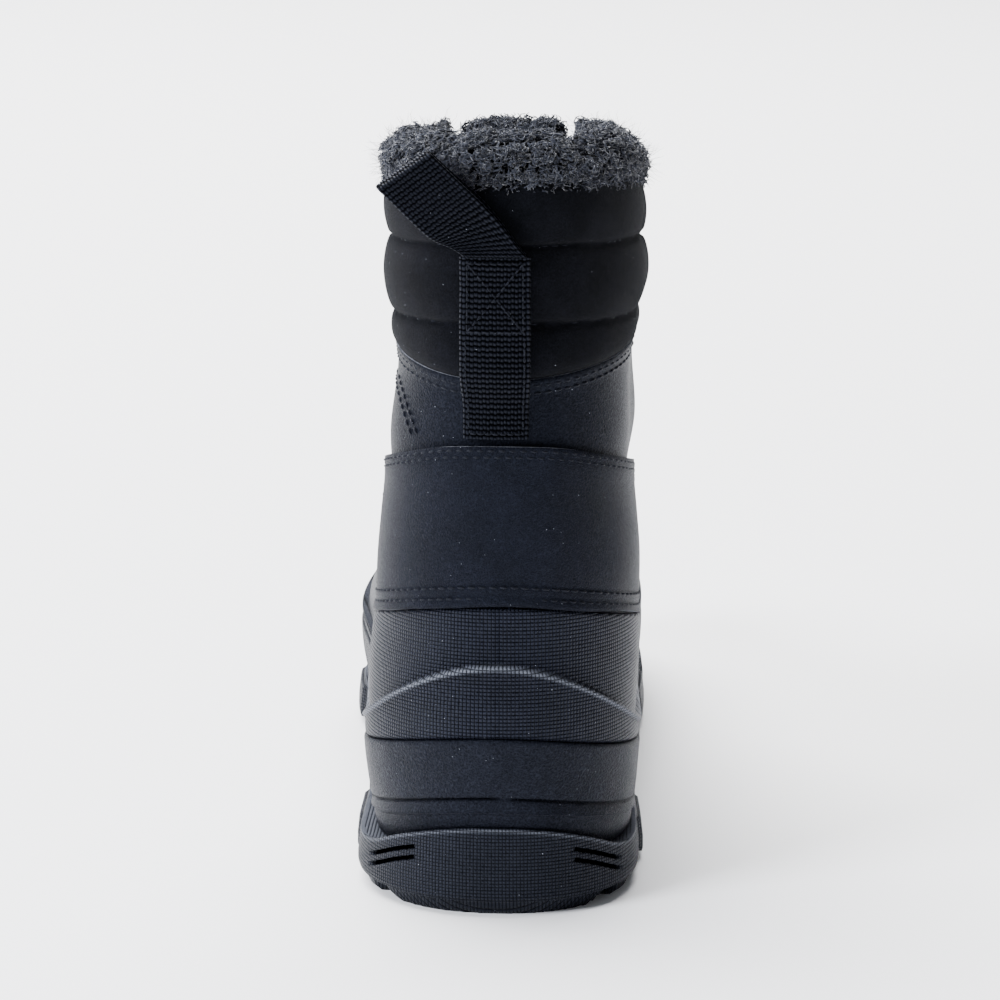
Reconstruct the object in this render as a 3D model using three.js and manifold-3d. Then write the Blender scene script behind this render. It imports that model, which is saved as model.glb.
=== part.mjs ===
// Snow boot for the left foot, in millimetres.
// +Z is up, the toe points along +Y and the inner side of the foot faces +X.
// The origin lies on the floor under the middle of the heel.

import * as THREE from 'three';
import { mergeVertices } from 'three/addons/utils/BufferGeometryUtils.js';
import Module from 'manifold-3d';

const wasm = await Module();
wasm.setup();

// Lengths and widths of the foot and the shaft
const soleLength = 300;
const heelToOrigin = 42;
const heelWidth = 94;
const ballWidth = 106;
const shaftWidth = 78;
const shaftDepth = 120.5;
const instepHeight = 120;
const collarHeight = 230;
const toeSpring = 14;
const archRise = 3;

// Walls, layers and the gap between neighbours
const gap = 0.3;
const wall = 3.2;
const insoleThickness = 4.5;
const shellThickness = 2.5;
const ridgeStep = 1.7;
const bandThickness = 5.1;
const flangeStep = 0.9;
const counterThickness = 2.2;
const eyestayThickness = 1.8;
const tongueThickness = 6;
const webbingThickness = 1.6;
const webbingWidth = 19;
const stripBottom = 152;
const stripStandOff = 0.4;
const counterTop = 160;

// Front and top edge of the counter seen from the side, along the sole and up the shaft
const counterSide = [
  [0.187, 0.261], [0.193, 0.539], [0.183, 0.574], [0.160, 0.591],
  [0.113, 0.609], [0.060, 0.630], [0.027, 0.648], [0.000, 0.657],
].map(([along, up]) => [along * soleLength - heelToOrigin, up * collarHeight]);

// Quilting of the cuff
const puffRise = 2.6;
const puffPitch = 22;
const cuffStep = 0.6;

// Throat, lacing and eyelets
const throatBottom = 98;
const throatBottomWidth = 24;
const throatTopWidth = 42;
const eyestayWidth = 21;
const tongueOverlap = 16;
const tongueHalfWidth = 31;
const tongueTopHalfWidth = 19;
const tongueRise = 2;
const tongueNeck = 194;
const eyeletRadius = 4.4;
const eyeletHole = 2.4;
const eyeletThickness = 1.3;
const eyeletBevel = 0.4;
const eyeletInset = 9;
const eyeletPairs = 6;
const eyeletSides = 6;
const lowestEyelet = 108;
const highestEyelet = 194;
const laceRadius = 2.2;

// Tread and side of the outsole
const lugDepth = 5;
const lugRoot = 1;
const barZigzag = 5;
const heelBarPitch = 17;
const heelBarWidth = 11;
const foreBarPitch = 20;
const foreBarWidth = 12;
const foreBarMiddle = 144.5;
const heelBars = { before: 2, after: 2, middle: 0, pitch: heelBarPitch, width: heelBarWidth };
const foreBars = { before: 4, after: 5, middle: foreBarMiddle, pitch: foreBarPitch, width: foreBarWidth };
const treadMargin = 3.2;
const wallFoot = 0.4;
const wallLean = 1;
const sideGrooveDepth = 1.6;
const sideGrooveHeight = 2.1;
const sideLugRise = 1.6;
const sideLugHeight = 14.5;
const sideLugs = 6;
const sideLugPitch = 0.085;
const sideLugLength = 0.045;
const blockRoot = 4;
const rearGrooves = { from: 0.11, to: 0.2, drops: [5.6, 9.2] };

// Fleece
const fleeceHeight = 15.5;
const lockRadius = 5.2;
const locksRound = 13;
const lockRows = [{ out: -0.16, sink: 1.15 }, { out: -0.68, sink: 0.8 }];
const rollSteps = 26;

// Section of the roll, out from the skin and up from the collar, as shares of the fleece's height
const rollInner = [-wall - 1, -wall - 5];
const rollProfile = [
  [0.05, 0.02], [0.17, 0.26], [0.14, 0.58], [-0.10, 0.81], [-0.45, 0.97], [-0.84, 0.74],
  [-0.97, 0.26], [-0.84, -0.77], [rollInner[1] / fleeceHeight, -1.55], [rollInner[0] / fleeceHeight, -1.55],
  [rollInner[0] / fleeceHeight, 0.02],
].map(([out, up]) => [out * fleeceHeight, up * fleeceHeight]);
const tongueRollProfile = [
  [0, 0.15], [0.06, 0.52], [-0.13, 0.84], [-0.52, 0.94], [-0.90, 0.65], [-0.97, 0.15],
].map(([out, up]) => [out * fleeceHeight, up * fleeceHeight]);
const throatClearance = 1.5;

// Pull loop: where it is sewn down, how long its legs are and how far it leans outward
const loopSeamHeight = 209;
const loopLength = 38.6;
const loopLean = 46;
const loopTurn = 35;
const loopGap = 1.6;
const loopStandOff = 3.2;

// Flange and groove on the side of the midsole
const grooveDepth = 1.1;
const grooveHalf = 0.8;
const bandRoundDepth = 0.8;
const bandRoundHeight = 1.2;
const flangeDrop = 4;

// The skin is the outer face of the upper. Each row is a level section of it.
// height is a share of the instep height; rear, front and toeDepth are shares of the sole's length;
// heel columns are shares of the heel's width, waist and ball columns of the ball's width.
// Out is the outer side of the foot and In the inner side.
const sectionColumns = [
  'height', 'rear', 'front', 'heelOut', 'heelIn', 'waistOut', 'waistIn', 'ballOut', 'ballIn', 'toeDepth',
];
const footSections = named(sectionColumns, [
  [0.15, 0.028, 0.952, 0.383, 0.388, 0.377, 0.305, 0.481, 0.330, 0.260],
  [0.25, 0.025, 0.958, 0.404, 0.405, 0.406, 0.330, 0.509, 0.355, 0.260],
  [0.36, 0.023, 0.948, 0.420, 0.415, 0.415, 0.349, 0.509, 0.360, 0.267],
  [0.46, 0.021, 0.912, 0.426, 0.425, 0.410, 0.362, 0.486, 0.355, 0.280],
  [0.54, 0.020, 0.866, 0.426, 0.431, 0.401, 0.369, 0.453, 0.347, 0.300],
  [0.63, 0.019, 0.793, 0.420, 0.436, 0.387, 0.369, 0.410, 0.340, 0.323],
  [0.72, 0.018, 0.716, 0.406, 0.437, 0.368, 0.366, 0.377, 0.335, 0.333],
  [0.80, 0.017, 0.650, 0.401, 0.438, 0.354, 0.364, 0.349, 0.337, 0.320],
  [0.90, 0.016, 0.580, 0.394, 0.437, 0.352, 0.363, 0.330, 0.345, 0.280],
  [1.00, 0.018, 0.523, 0.382, 0.426, 0.350, 0.363, 0.321, 0.352, 0.233],
]);

// Above the instep height is a share of the way from instep to collar,
// rear, front and toeDepth are shares of the shaft's depth and all widths are shares of its width.
const shaftSections = named(sectionColumns, [
  [0.11, 0.052, 1.212, 0.446, 0.500, 0.459, 0.503, 0.430, 0.485, 0.498],
  [0.25, 0.064, 1.154, 0.452, 0.515, 0.465, 0.530, 0.425, 0.492, 0.448],
  [0.45, 0.074, 1.112, 0.421, 0.510, 0.430, 0.517, 0.400, 0.490, 0.415],
  [0.72, 0.077, 1.087, 0.438, 0.532, 0.446, 0.543, 0.418, 0.495, 0.398],
  [1.00, 0.071, 1.071, 0.442, 0.516, 0.455, 0.524, 0.426, 0.495, 0.390],
  [1.22, 0.071, 1.062, 0.442, 0.516, 0.455, 0.524, 0.426, 0.495, 0.390],
]);

// Rows of a table with their columns' names
function named(names, rows) {
  return rows.map((row) => Object.fromEntries(names.map((name, k) => [name, row[k]])));
}

// Outline of the outsole, in the same columns
const soleSection = {
  rear: 0, front: 0.993, heelOut: 0.495, heelIn: 0.472, waistOut: 0.440, waistIn: 0.375,
  ballOut: 0.566, ballIn: 0.405, toeDepth: 0.275,
};

// Side of the outsole: share of its height, and how far the wall stands inside the outline
const soleWall = [
  { height: 0.11, inset: 0 },
  { height: 0.5, inset: 0.1 * wallLean },
  { height: 1.0, inset: wallLean },
];

// Floors across the boot: the top of the outsole and the seat of the insole,
// as shares of the instep height at shares of the sole's length
const floors = named(['at', 'ledge', 'seat'], [
  [0.000, 0.240, 0.290],
  [0.028, 0.200, 0.275],
  [0.073, 0.145, 0.255],
  [0.140, 0.135, 0.243],
  [0.400, 0.132, 0.205],
  [0.700, 0.128, 0.175],
  [1.000, 0.122, 0.165],
]);

// Lines round the boot: heights at the rear, the heel's side, the waist and the toe,
// as shares of the instep height below it and of the collar height on the shaft
const lines = {
  seat: { rear: 0.290, side: 0.245, waist: 0.205, front: 0.165, of: instepHeight },
  flange: { rear: 0.283, side: 0.187, waist: 0.180, front: 0.172, of: instepHeight },
  groove: { rear: 0.321, side: 0.218, waist: 0.213, front: 0.205, of: instepHeight },
  bandTop: { rear: 0.483, side: 0.380, waist: 0.350, front: 0.317, of: instepHeight },
  ridge: { rear: 0.679, side: 0.435, waist: 0.392, front: 0.417, of: instepHeight },
  shellTop: { rear: 0.833, side: 0.722, waist: 0.617, front: 0.525, of: instepHeight },
  cuff: { rear: 0.735, side: 0.760, waist: 0.755, front: 0.735, of: collarHeight },
  lowSeam: { rear: 0.813, side: 0.803, waist: 0.798, front: 0.790, of: collarHeight },
  highSeam: { rear: 0.917, side: 0.905, waist: 0.893, front: 0.878, of: collarHeight },
  collar: { rear: 1, side: 0.985, waist: 0.968, front: 0.952, of: collarHeight },
};

// Columns round a section: 0 is the rear, 1 the front, plus the inner side, minus the outer side
const heelEnd = 0.3;
const toeStart = 0.62;
const heelSteps = 7;
const sideSteps = 5;
const toeSteps = 8;
const heelDepthShare = 0.14;
const heelFullness = 2.15;
const toeFullness = { out: 2.05, in: 2.35 };

const axisOfLathe = new THREE.Vector3(0, 1, 0);
const mix = THREE.MathUtils.lerp;
const clamp = THREE.MathUtils.clamp;
const smooth = (t) => THREE.MathUtils.smoothstep(t, 0, 1);

// A smooth curve through rows of a table, read at one value of the key column
function readTable(rows, key, at) {
  const last = rows.length - 1;
  let k = 0;
  while (k < last - 1 && at > rows[k + 1][key]) k += 1;
  const [a, b] = [rows[k], rows[k + 1]];
  const before = rows[Math.max(k - 1, 0)];
  const after = rows[Math.min(k + 2, last)];
  const width = b[key] - a[key];
  const t = clamp((at - a[key]) / width, 0, 1);
  const result = {};
  for (const column of Object.keys(a)) {
    const slopeA = (b[column] - before[column]) / (b[key] - before[key]) * width;
    const slopeB = (after[column] - a[column]) / (after[key] - a[key]) * width;
    const start = (1 + 2 * t) * (1 - t) ** 2 * a[column] + t * (1 - t) ** 2 * slopeA;
    result[column] = start + t * t * (3 - 2 * t) * b[column] + t * t * (t - 1) * slopeB;
  }
  return result;
}

// Sections in millimetres, from both tables
const sections = [
  ...footSections.map((row) => sized(row, row.height * instepHeight, soleLength, heelWidth, ballWidth)),
  ...shaftSections.map((row) => sized(
    row, mix(instepHeight, collarHeight, row.height), shaftDepth, shaftWidth, shaftWidth)),
];

function sized(row, height, length, heel, ball) {
  return {
    height,
    rear: row.rear * length,
    front: row.front * length,
    toeDepth: row.toeDepth * length,
    heelOut: row.heelOut * heel,
    heelIn: row.heelIn * heel,
    waistOut: row.waistOut * ball,
    waistIn: row.waistIn * ball,
    ballOut: row.ballOut * ball,
    ballIn: row.ballIn * ball,
  };
}

// Plan position of a column on one section: a full heel arc, a waist and a toe arc
function planPoint(section, column) {
  const inner = column >= 0;
  const c = Math.min(Math.abs(column), 1);
  const heel = inner ? section.heelIn : section.heelOut;
  const waist = inner ? section.waistIn : section.waistOut;
  const ball = inner ? section.ballIn : section.ballOut;
  const heelDepth = heelDepthShare * soleLength;
  const heelY = section.rear + heelDepth;
  const toeY = Math.max(section.front - section.toeDepth, heelY + 1);
  let x;
  let y;
  if (c < heelEnd) {
    const angle = c / heelEnd * Math.PI / 2;
    x = heel * Math.sin(angle) ** (2 / heelFullness);
    y = heelY - heelDepth * Math.cos(angle) ** (2 / heelFullness);
  } else if (c < toeStart) {
    const t = (c - heelEnd) / (toeStart - heelEnd);
    y = mix(heelY, toeY, t);
    x = t < 0.5 ? mix(heel, waist, smooth(2 * t)) : mix(waist, ball, smooth(2 * t - 1));
  } else {
    const angle = (1 - c) / (1 - toeStart) * Math.PI / 2;
    const power = 2 / (inner ? toeFullness.in : toeFullness.out);
    x = ball * Math.sin(angle) ** power;
    y = toeY + (section.front - toeY) * Math.cos(angle) ** power;
  }
  return new THREE.Vector3(inner ? x : -x, y - heelToOrigin, 0);
}

// Height of a named line at a column
function lineHeight(line, column) {
  const c = Math.min(Math.abs(column), 1);
  const waistColumn = (heelEnd + toeStart) / 2;
  const stations = named(['c', 'z'], [
    [-heelEnd, line.side], [0, line.rear], [heelEnd, line.side],
    [waistColumn, line.waist], [1, line.front], [2 - waistColumn, line.waist],
  ]);
  return readTable(stations, 'c', c).z * line.of;
}

// Height of a floor at a distance along the boot
function floorHeight(name, y) {
  return readTable(floors, 'at', clamp((y + heelToOrigin) / soleLength, 0, 1))[name] * instepHeight;
}

// Ring of points dropped or lifted on to a floor
function grounded(points, name, shift) {
  return points.map((point) => point.clone().setZ(floorHeight(name, point.y) + shift));
}

// Puffs of the quilted cuff, above the skin
function quilting(column, height) {
  const seams = [lines.cuff, lines.lowSeam, lines.highSeam, lines.collar]
    .map((line) => lineHeight(line, column));
  for (let k = 0; k < seams.length - 1; k += 1) {
    const t = (height - seams[k]) / (seams[k + 1] - seams[k]);
    const swell = Math.min((seams[k + 1] - seams[k]) / puffPitch, 1);
    if (t > 0 && t < 1) return cuffStep + puffRise * swell * Math.sin(Math.PI * t) ** 0.7;
  }
  return height >= seams.at(-1) ? cuffStep : 0;
}

function skinPoint(column, height) {
  const point = planPoint(readTable(sections, 'height', height), column);
  point.z = height;
  return point;
}

// Point of the skin moved out along its own normal
function skin(column, height, out = 0) {
  const step = 0.006;
  const rise = instepHeight / 240;
  const wrap = (c) => (c > 1 ? c - 2 : c < -1 ? c + 2 : c);
  const along = skinPoint(wrap(column + step), height).sub(skinPoint(wrap(column - step), height));
  const up = skinPoint(column, height + rise).sub(skinPoint(column, height - rise));
  const normal = along.cross(up).normalize();
  return skinPoint(column, height).addScaledVector(normal, out);
}

// Column of the toe arc whose skin lies a given distance to one side of the middle
function columnBeside(distance, height, side) {
  let [near, far] = [toeStart / 2, 1];
  for (let k = 0; k < 30; k += 1) {
    const middle = (near + far) / 2;
    if (Math.abs(skinPoint(side * middle, height).x) > distance) near = middle;
    else far = middle;
  }
  return side * near;
}

// Columns all round, from the rear over the inner side to the front and back over the outer side
const halfColumns = [
  ...steps(0, heelEnd, heelSteps),
  ...steps(heelEnd, toeStart, sideSteps),
  ...steps(toeStart, 1, toeSteps),
];
const columns = [...halfColumns, 1, ...halfColumns.slice(1).reverse().map((c) => -c)];

// Equal steps from one value to another, without the last
function steps(from, to, count) {
  return Array.from({ length: count }, (unused, k) => mix(from, to, k / count));
}

// Heights of the rows between named lines, for one column
function rowsBetween(names, counts) {
  const rows = [];
  names.slice(1).forEach((name, k) => {
    const [low, high] = [lines[names[k]], lines[name]];
    for (const t of steps(0, 1, counts[k])) {
      rows.push((column) => mix(lineHeight(low, column), lineHeight(high, column), t));
    }
  });
  rows.push((column) => lineHeight(lines[names.at(-1)], column));
  return rows;
}

const ring = (height, out) => columns.map((c) => skin(c, height(c), out));

// Closed geometry from lists of points and faces
function geometryOf(points, faces) {
  const geometry = new THREE.BufferGeometry();
  const numbers = points.flatMap((point) => [point.x, point.y, point.z]);
  geometry.setAttribute('position', new THREE.Float32BufferAttribute(numbers, 3));
  geometry.setIndex(faces.flat());
  return geometry;
}

// Walls between one ring and the next, split along the same diagonals whether they run up or down
function wallFaces(count, from, to, down = false) {
  const faces = [];
  for (let k = 0; k < count; k += 1) {
    const next = (k + 1) % count;
    if (down) faces.push([from + k, from + next, to + k], [from + next, to + next, to + k]);
    else faces.push([from + k, from + next, to + next], [from + k, to + next, to + k]);
  }
  return faces;
}

// Faces between all the rings of a list, in order
function ringFaces(rings, closed) {
  const count = rings[0].length;
  const faces = [];
  for (let k = 0; k < rings.length - (closed ? 0 : 1); k += 1) {
    const next = (k + 1) % rings.length;
    faces.push(...wallFaces(count, k * count, next * count, rings[next][0].z < rings[k][0].z));
  }
  return faces;
}

// Solid through a stack of rings, closed below and above by rungs from side to side
function stack(rings) {
  const count = columns.length;
  const top = (rings.length - 1) * count;
  const faces = ringFaces(rings, false);
  for (let k = 0; k < count / 2; k += 1) {
    const [a, b, c, d] = [k, k + 1, count - k - 1, (count - k) % count];
    if (b !== c) {
      faces.push([a, c, b], [top + a, top + b, top + c]);
    }
    if (a !== d) {
      faces.push([a, d, c], [top + a, top + c, top + d]);
    }
  }
  return geometryOf(rings.flat(), faces);
}

// Solid whose rings run up its outer face and down its inner face
function hoop(rings) {
  return geometryOf(rings.flat(), ringFaces(rings, true));
}

// Closed bar through equal sections, each a loop of points
function loft(loops) {
  const count = loops[0].length;
  const last = (loops.length - 1) * count;
  const faces = [];
  for (let k = 1; k < loops.length; k += 1) faces.push(...wallFaces(count, (k - 1) * count, k * count));
  for (let k = 1; k < count - 1; k += 1) faces.push([0, k + 1, k], [last, last + k, last + k + 1]);
  return geometryOf(loops.flat(), faces);
}

// Solid for cutting and joining
function solidOf(geometry) {
  const bare = geometry.clone();
  bare.deleteAttribute('normal');
  bare.deleteAttribute('uv');
  const merged = mergeVertices(bare, 1e-4);
  const solid = new wasm.Manifold(new wasm.Mesh({
    numProp: 3,
    vertProperties: merged.attributes.position.array,
    triVerts: Uint32Array.from(merged.index.array),
  }));
  return solid.volume() < 0 ? new wasm.Manifold(flipped(merged)) : solid;
}

function flipped(geometry) {
  return new wasm.Mesh({
    numProp: 3,
    vertProperties: geometry.attributes.position.array,
    triVerts: Uint32Array.from(geometry.index.array).reverse(),
  });
}

function geometryFrom(solid) {
  const mesh = solid.getMesh();
  const geometry = new THREE.BufferGeometry();
  geometry.setAttribute('position', new THREE.Float32BufferAttribute(mesh.vertProperties, 3));
  geometry.setIndex(new THREE.BufferAttribute(mesh.triVerts, 1));
  return geometry;
}

// Prism over an outline of [across, up] pairs, seen along X or along Y
function prism(outline, axis, from, to) {
  const shape = new THREE.Shape(outline.map(([u, v]) => new THREE.Vector2(u, v)));
  const geometry = new THREE.ExtrudeGeometry(shape, { depth: to - from, bevelEnabled: false });
  geometry.translate(0, 0, axis === 'x' ? from : -to);
  const across = axis === 'x' ? new THREE.Vector3(0, 1, 0) : new THREE.Vector3(1, 0, 0);
  const along = axis === 'x' ? new THREE.Vector3(1, 0, 0) : new THREE.Vector3(0, -1, 0);
  geometry.applyMatrix4(new THREE.Matrix4().makeBasis(across, new THREE.Vector3(0, 0, 1), along));
  return solidOf(geometry);
}

// Toe spring and the hollow under the waist, given to every piece alike
function bend(geometry) {
  const ballY = soleLength * 0.667 - heelToOrigin;
  const waistY = soleLength * 0.37 - heelToOrigin;
  const archReach = soleLength * 0.13;
  const ledge = floorHeight('ledge', waistY);
  const position = geometry.attributes.position;
  for (let k = 0; k < position.count; k += 1) {
    const y = position.getY(k);
    const z = position.getZ(k);
    const t = Math.max((y - ballY) / (soleLength - heelToOrigin - ballY), 0);
    const arch = clamp(1 - ((y - waistY) / archReach) ** 2, 0, 1) * clamp(1 - z / ledge, 0, 1);
    position.setZ(k, z + toeSpring * t * t + archRise * arch);
  }
  return geometry;
}

// Finishes that the sub-parts share
const finishes = {
  rubber: { color: 0x26282c, roughness: 0.75, metalness: 0 },
  shellRubber: { color: 0x2a2c31, roughness: 0.7, metalness: 0 },
  leather: { color: 0x1e2023, roughness: 0.6, metalness: 0 },
  nubuck: { color: 0x222326, roughness: 0.9, metalness: 0 },
  webbing: { color: 0x1a1b1f, roughness: 0.85, metalness: 0 },
  fleece: { color: 0x2c2d31, roughness: 1, metalness: 0 },
  lace: { color: 0x17181a, roughness: 0.9, metalness: 0 },
  metal: { color: 0x3a3c40, roughness: 0.4, metalness: 0.9 },
};

const boot = new THREE.Group();

function add(name, geometry, finish) {
  const bent = bend(geometry.index ? geometry : mergeVertices(geometry));
  bent.computeVertexNormals();
  const mesh = new THREE.Mesh(bent, new THREE.MeshStandardMaterial(finishes[finish]));
  mesh.name = name;
  boot.add(mesh);
}

// Rows of the outer face and, coarser, of the inner face
const outerNames = ['seat', 'bandTop', 'shellTop', 'cuff', 'lowSeam', 'highSeam', 'collar'];
const outerRows = rowsBetween(outerNames, [2, 3, 8, 4, 4, 4]);
const innerRows = rowsBetween(['seat', 'shellTop', 'collar'], [2, 9]);

// Rings of the skin and its quilting, moved out by a layer's offset
function outerRings(out) {
  const rings = outerRows.map((row) => columns.map((c) => skin(c, row(c), out + quilting(c, row(c)))));
  return [grounded(rings[0], 'seat', gap), ...rings.slice(1)];
}

function innerRings(out) {
  const rings = innerRows.map((row) => ring(row, out));
  return [grounded(rings[0], 'seat', gap), ...rings.slice(1)];
}

// The hollow of the upper, moved in by an offset and carried on above the collar
function innerForm(out, above) {
  return solidOf(stack([...innerRings(out), ring((c) => lineHeight(lines.collar, c) + above, out)]));
}

const throatTop = lines.collar.front * lines.collar.of;

function throatWidthAt(z) {
  const share = clamp((z - throatBottom) / (throatTop - throatBottom), 0, 1);
  return mix(throatBottomWidth, throatTopWidth, share);
}

// Outline of the throat as seen from the front, wider by a margin
function throatOutline(margin, top) {
  const radius = throatBottomWidth / 2;
  const outline = [];
  const reach = radius + margin;
  for (const angle of steps(0, Math.PI, 6)) {
    outline.push([-Math.cos(angle) * reach, throatBottom + radius - Math.sin(angle) * reach]);
  }
  outline.push([reach, throatBottom + radius]);
  outline.push([throatWidthAt(top) / 2 + margin, top]);
  outline.push([-throatWidthAt(top) / 2 - margin, top]);
  return outline;
}

// Outsole: a slab with its side profile, zigzag bars of tread, side lugs and short grooves
function soleRing(inset, height = 0) {
  return columns.map((c) => {
    const section = sized(soleSection, 0, soleLength, heelWidth, ballWidth);
    const step = 0.004;
    const wrap = (v) => (v > 1 ? v - 2 : v < -1 ? v + 2 : v);
    const along = planPoint(section, wrap(c + step)).sub(planPoint(section, wrap(c - step)));
    const normal = new THREE.Vector3(along.y, -along.x, 0).normalize();
    const point = planPoint(section, c).addScaledVector(normal, -inset);
    return point.setZ(height);
  });
}

// Block on the side of the outsole, between two columns and two heights that may follow the ledge
function sideBlock(span, low, high, insideBy, outBy) {
  const section = sized(soleSection, 0, soleLength, heelWidth, ballWidth);
  const loops = [0, 0.5, 1].map((t) => {
    const c = mix(span.from, span.to, t);
    const along = planPoint(section, c + 0.004).sub(planPoint(section, c - 0.004));
    const normal = new THREE.Vector3(along.y, -along.x, 0).normalize();
    const inside = planPoint(section, c).addScaledVector(normal, -insideBy);
    const outside = planPoint(section, c).addScaledVector(normal, outBy);
    const corners = [[inside, low], [outside, low], [outside, high], [inside, high]];
    return corners.map(([point, height]) => new THREE.Vector3(point.x, point.y, height(inside.y)));
  });
  return solidOf(loft(loops));
}

function treadBar(middle, width) {
  const reach = ballWidth * 0.7;
  const half = width / 2;
  const shifts = [barZigzag, -barZigzag, -barZigzag, barZigzag];
  const across = (k) => mix(-reach, reach, k / (shifts.length - 1));
  const nearEdge = shifts.map((shift, k) => [across(k), middle - half + shift]);
  const farEdge = shifts.map((shift, k) => [across(k), middle + half + shift]).reverse();
  const shape = new THREE.Shape([...nearEdge, ...farEdge].map(([x, y]) => new THREE.Vector2(x, y)));
  return solidOf(new THREE.ExtrudeGeometry(shape, { depth: lugDepth + lugRoot, bevelEnabled: false }));
}

function outsole() {
  const wallRows = soleWall.map((row) => soleRing(row.inset)
    .map((point) => point.setZ(Math.max(row.height * floorHeight('ledge', point.y), lugDepth))));
  const slab = solidOf(stack([soleRing(wallFoot, lugDepth), ...wallRows.slice(1)]));
  const tread = solidOf(stack([soleRing(treadMargin), soleRing(wallFoot, lugDepth + lugRoot)]));
  const bars = [];
  for (const set of [heelBars, foreBars]) {
    for (let k = -set.before; k <= set.after; k += 1) {
      bars.push(treadBar(set.middle + barZigzag + set.pitch * k, set.width));
    }
  }
  let body = slab.add(wasm.Manifold.union(bars).intersect(tread));
  for (const side of [-1, 1]) {
    for (let k = 0; k < sideLugs; k += 1) {
      const from = heelEnd + sideLugLength / 2 + k * sideLugPitch;
      const span = { from: side * from, to: side * (from + sideLugLength) };
      body = body.add(sideBlock(span, () => lugDepth / 2, () => sideLugHeight, blockRoot, sideLugRise));
    }
    for (const drop of rearGrooves.drops) {
      const low = (y) => floorHeight('ledge', y) - drop;
      const high = (y) => low(y) + sideGrooveHeight;
      const span = { from: side * rearGrooves.from, to: side * rearGrooves.to };
      body = body.subtract(sideBlock(span, low, high, sideGrooveDepth, blockRoot));
    }
  }
  return geometryFrom(body);
}

// Midsole: a tray with a grained band, a flange and a groove on its side
function midsole() {
  const at = (line, shift = 0) => (c) => lineHeight(line, c) + shift;
  return stack([
    grounded(ring(at(lines.flange, -flangeDrop), bandThickness - flangeStep), 'ledge', 2 * gap),
    ring(at(lines.flange), bandThickness - flangeStep),
    ring(at(lines.flange, flangeStep / 2), bandThickness),
    ring(at(lines.groove, -grooveHalf), bandThickness),
    ring(at(lines.groove), bandThickness - grooveDepth),
    ring(at(lines.groove, grooveHalf), bandThickness),
    ring(at(lines.bandTop, -bandRoundHeight), bandThickness),
    ring(at(lines.bandTop, -gap / 2), bandThickness - bandRoundDepth),
    ring(at(lines.bandTop, -gap / 2), gap),
    ring(outerRows[1], gap),
    grounded(ring(at(lines.seat), gap), 'seat', 0),
  ]);
}

// Shell: rubber round the foot, prouder under the arched ridge
function shell() {
  const share = (line) => (c) => (lineHeight(line, c) - lineHeight(lines.bandTop, c))
    / (lineHeight(lines.shellTop, c) - lineHeight(lines.bandTop, c));
  const at = (t) => (c) => {
    const [low, high] = [lineHeight(lines.bandTop, c), lineHeight(lines.shellTop, c)];
    return clamp(mix(low, high, t), low + gap / 2, high - gap / 2);
  };
  const ridge = share(lines.ridge);
  const outer = gap + shellThickness;
  const rows = [];
  rows.push(ring(at(0), outer + ridgeStep * 0.7));
  rows.push(ring((c) => at(ridge(c) * 0.5)(c), outer + ridgeStep));
  rows.push(ring((c) => at(Math.max(ridge(c) - 0.02, 0.02))(c), outer + ridgeStep));
  rows.push(ring((c) => at(ridge(c) + 0.03)(c), outer));
  rows.push(ring((c) => at(mix(ridge(c), 1, 0.5))(c), outer));
  rows.push(ring(at(1), outer - 0.4));
  rows.push(ring(at(1), gap));
  for (const t of [2 / 3, 1 / 3, 0]) rows.push(ring(at(t), gap));
  return hoop(rows);
}

// Upper: one wall from footbed to collar, open below, at the collar and at the throat
function upper() {
  const wholeWall = solidOf(hoop([...outerRings(0), ...innerRings(-wall).reverse()]));
  const throat = prism(throatOutline(0, collarHeight * 1.1), 'y', shaftDepth / 2, soleLength);
  return geometryFrom(wholeWall.subtract(throat));
}

// Counter: a panel between two forms of the upper, cut to its outline as seen from the side
function heelCounter() {
  const shellEdge = (c) => lineHeight(lines.shellTop, c) + gap / 2;
  const behind = -heelToOrigin - counterThickness * 4;
  const outline = [[behind, counterSide[0][1]], ...counterSide, [behind, counterSide.at(-1)[1]]];
  const low = lineHeight(lines.shellTop, 0);
  const rows = [shellEdge, ...outerRows.filter((row) => row(0) > low + 1 && row(0) < counterTop)];
  const layer = hoop([
    ...rows.map((row) => ring(row, gap + counterThickness)),
    ...rows.map((row) => ring(row, gap)).reverse(),
  ]);
  return geometryFrom(solidOf(layer).intersect(prism(outline, 'x', -ballWidth, ballWidth)));
}

// Eyestay: a facing beside the throat, cut between two forms of the upper
function eyestay(side) {
  const top = lines.highSeam.front * collarHeight;
  const corner = eyestayWidth * 0.3;
  const edge = (z, across) => side * (throatWidthAt(z) / 2 + across);
  const outline = [
    [edge(throatBottom, -gap), throatBottom + gap],
    [edge(throatBottom, eyestayWidth - corner), throatBottom - corner],
    [edge(throatBottom, eyestayWidth), throatBottom + corner],
    [edge(top, eyestayWidth - corner / 2), top - corner],
    [edge(top, eyestayWidth - corner), top],
    [edge(top, gap), top],
  ];
  if (side < 0) outline.reverse();
  const layer = hoop([...outerRings(gap + eyestayThickness), ...outerRings(gap).reverse()]);
  const seats = Array.from({ length: eyeletPairs }, (unused, pair) => eyeletSeat(pair, side));
  const facing = solidOf(layer).intersect(prism(outline, 'y', shaftDepth / 2, soleLength));
  return geometryFrom(facing.subtract(wasm.Manifold.union(seats)));
}

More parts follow.
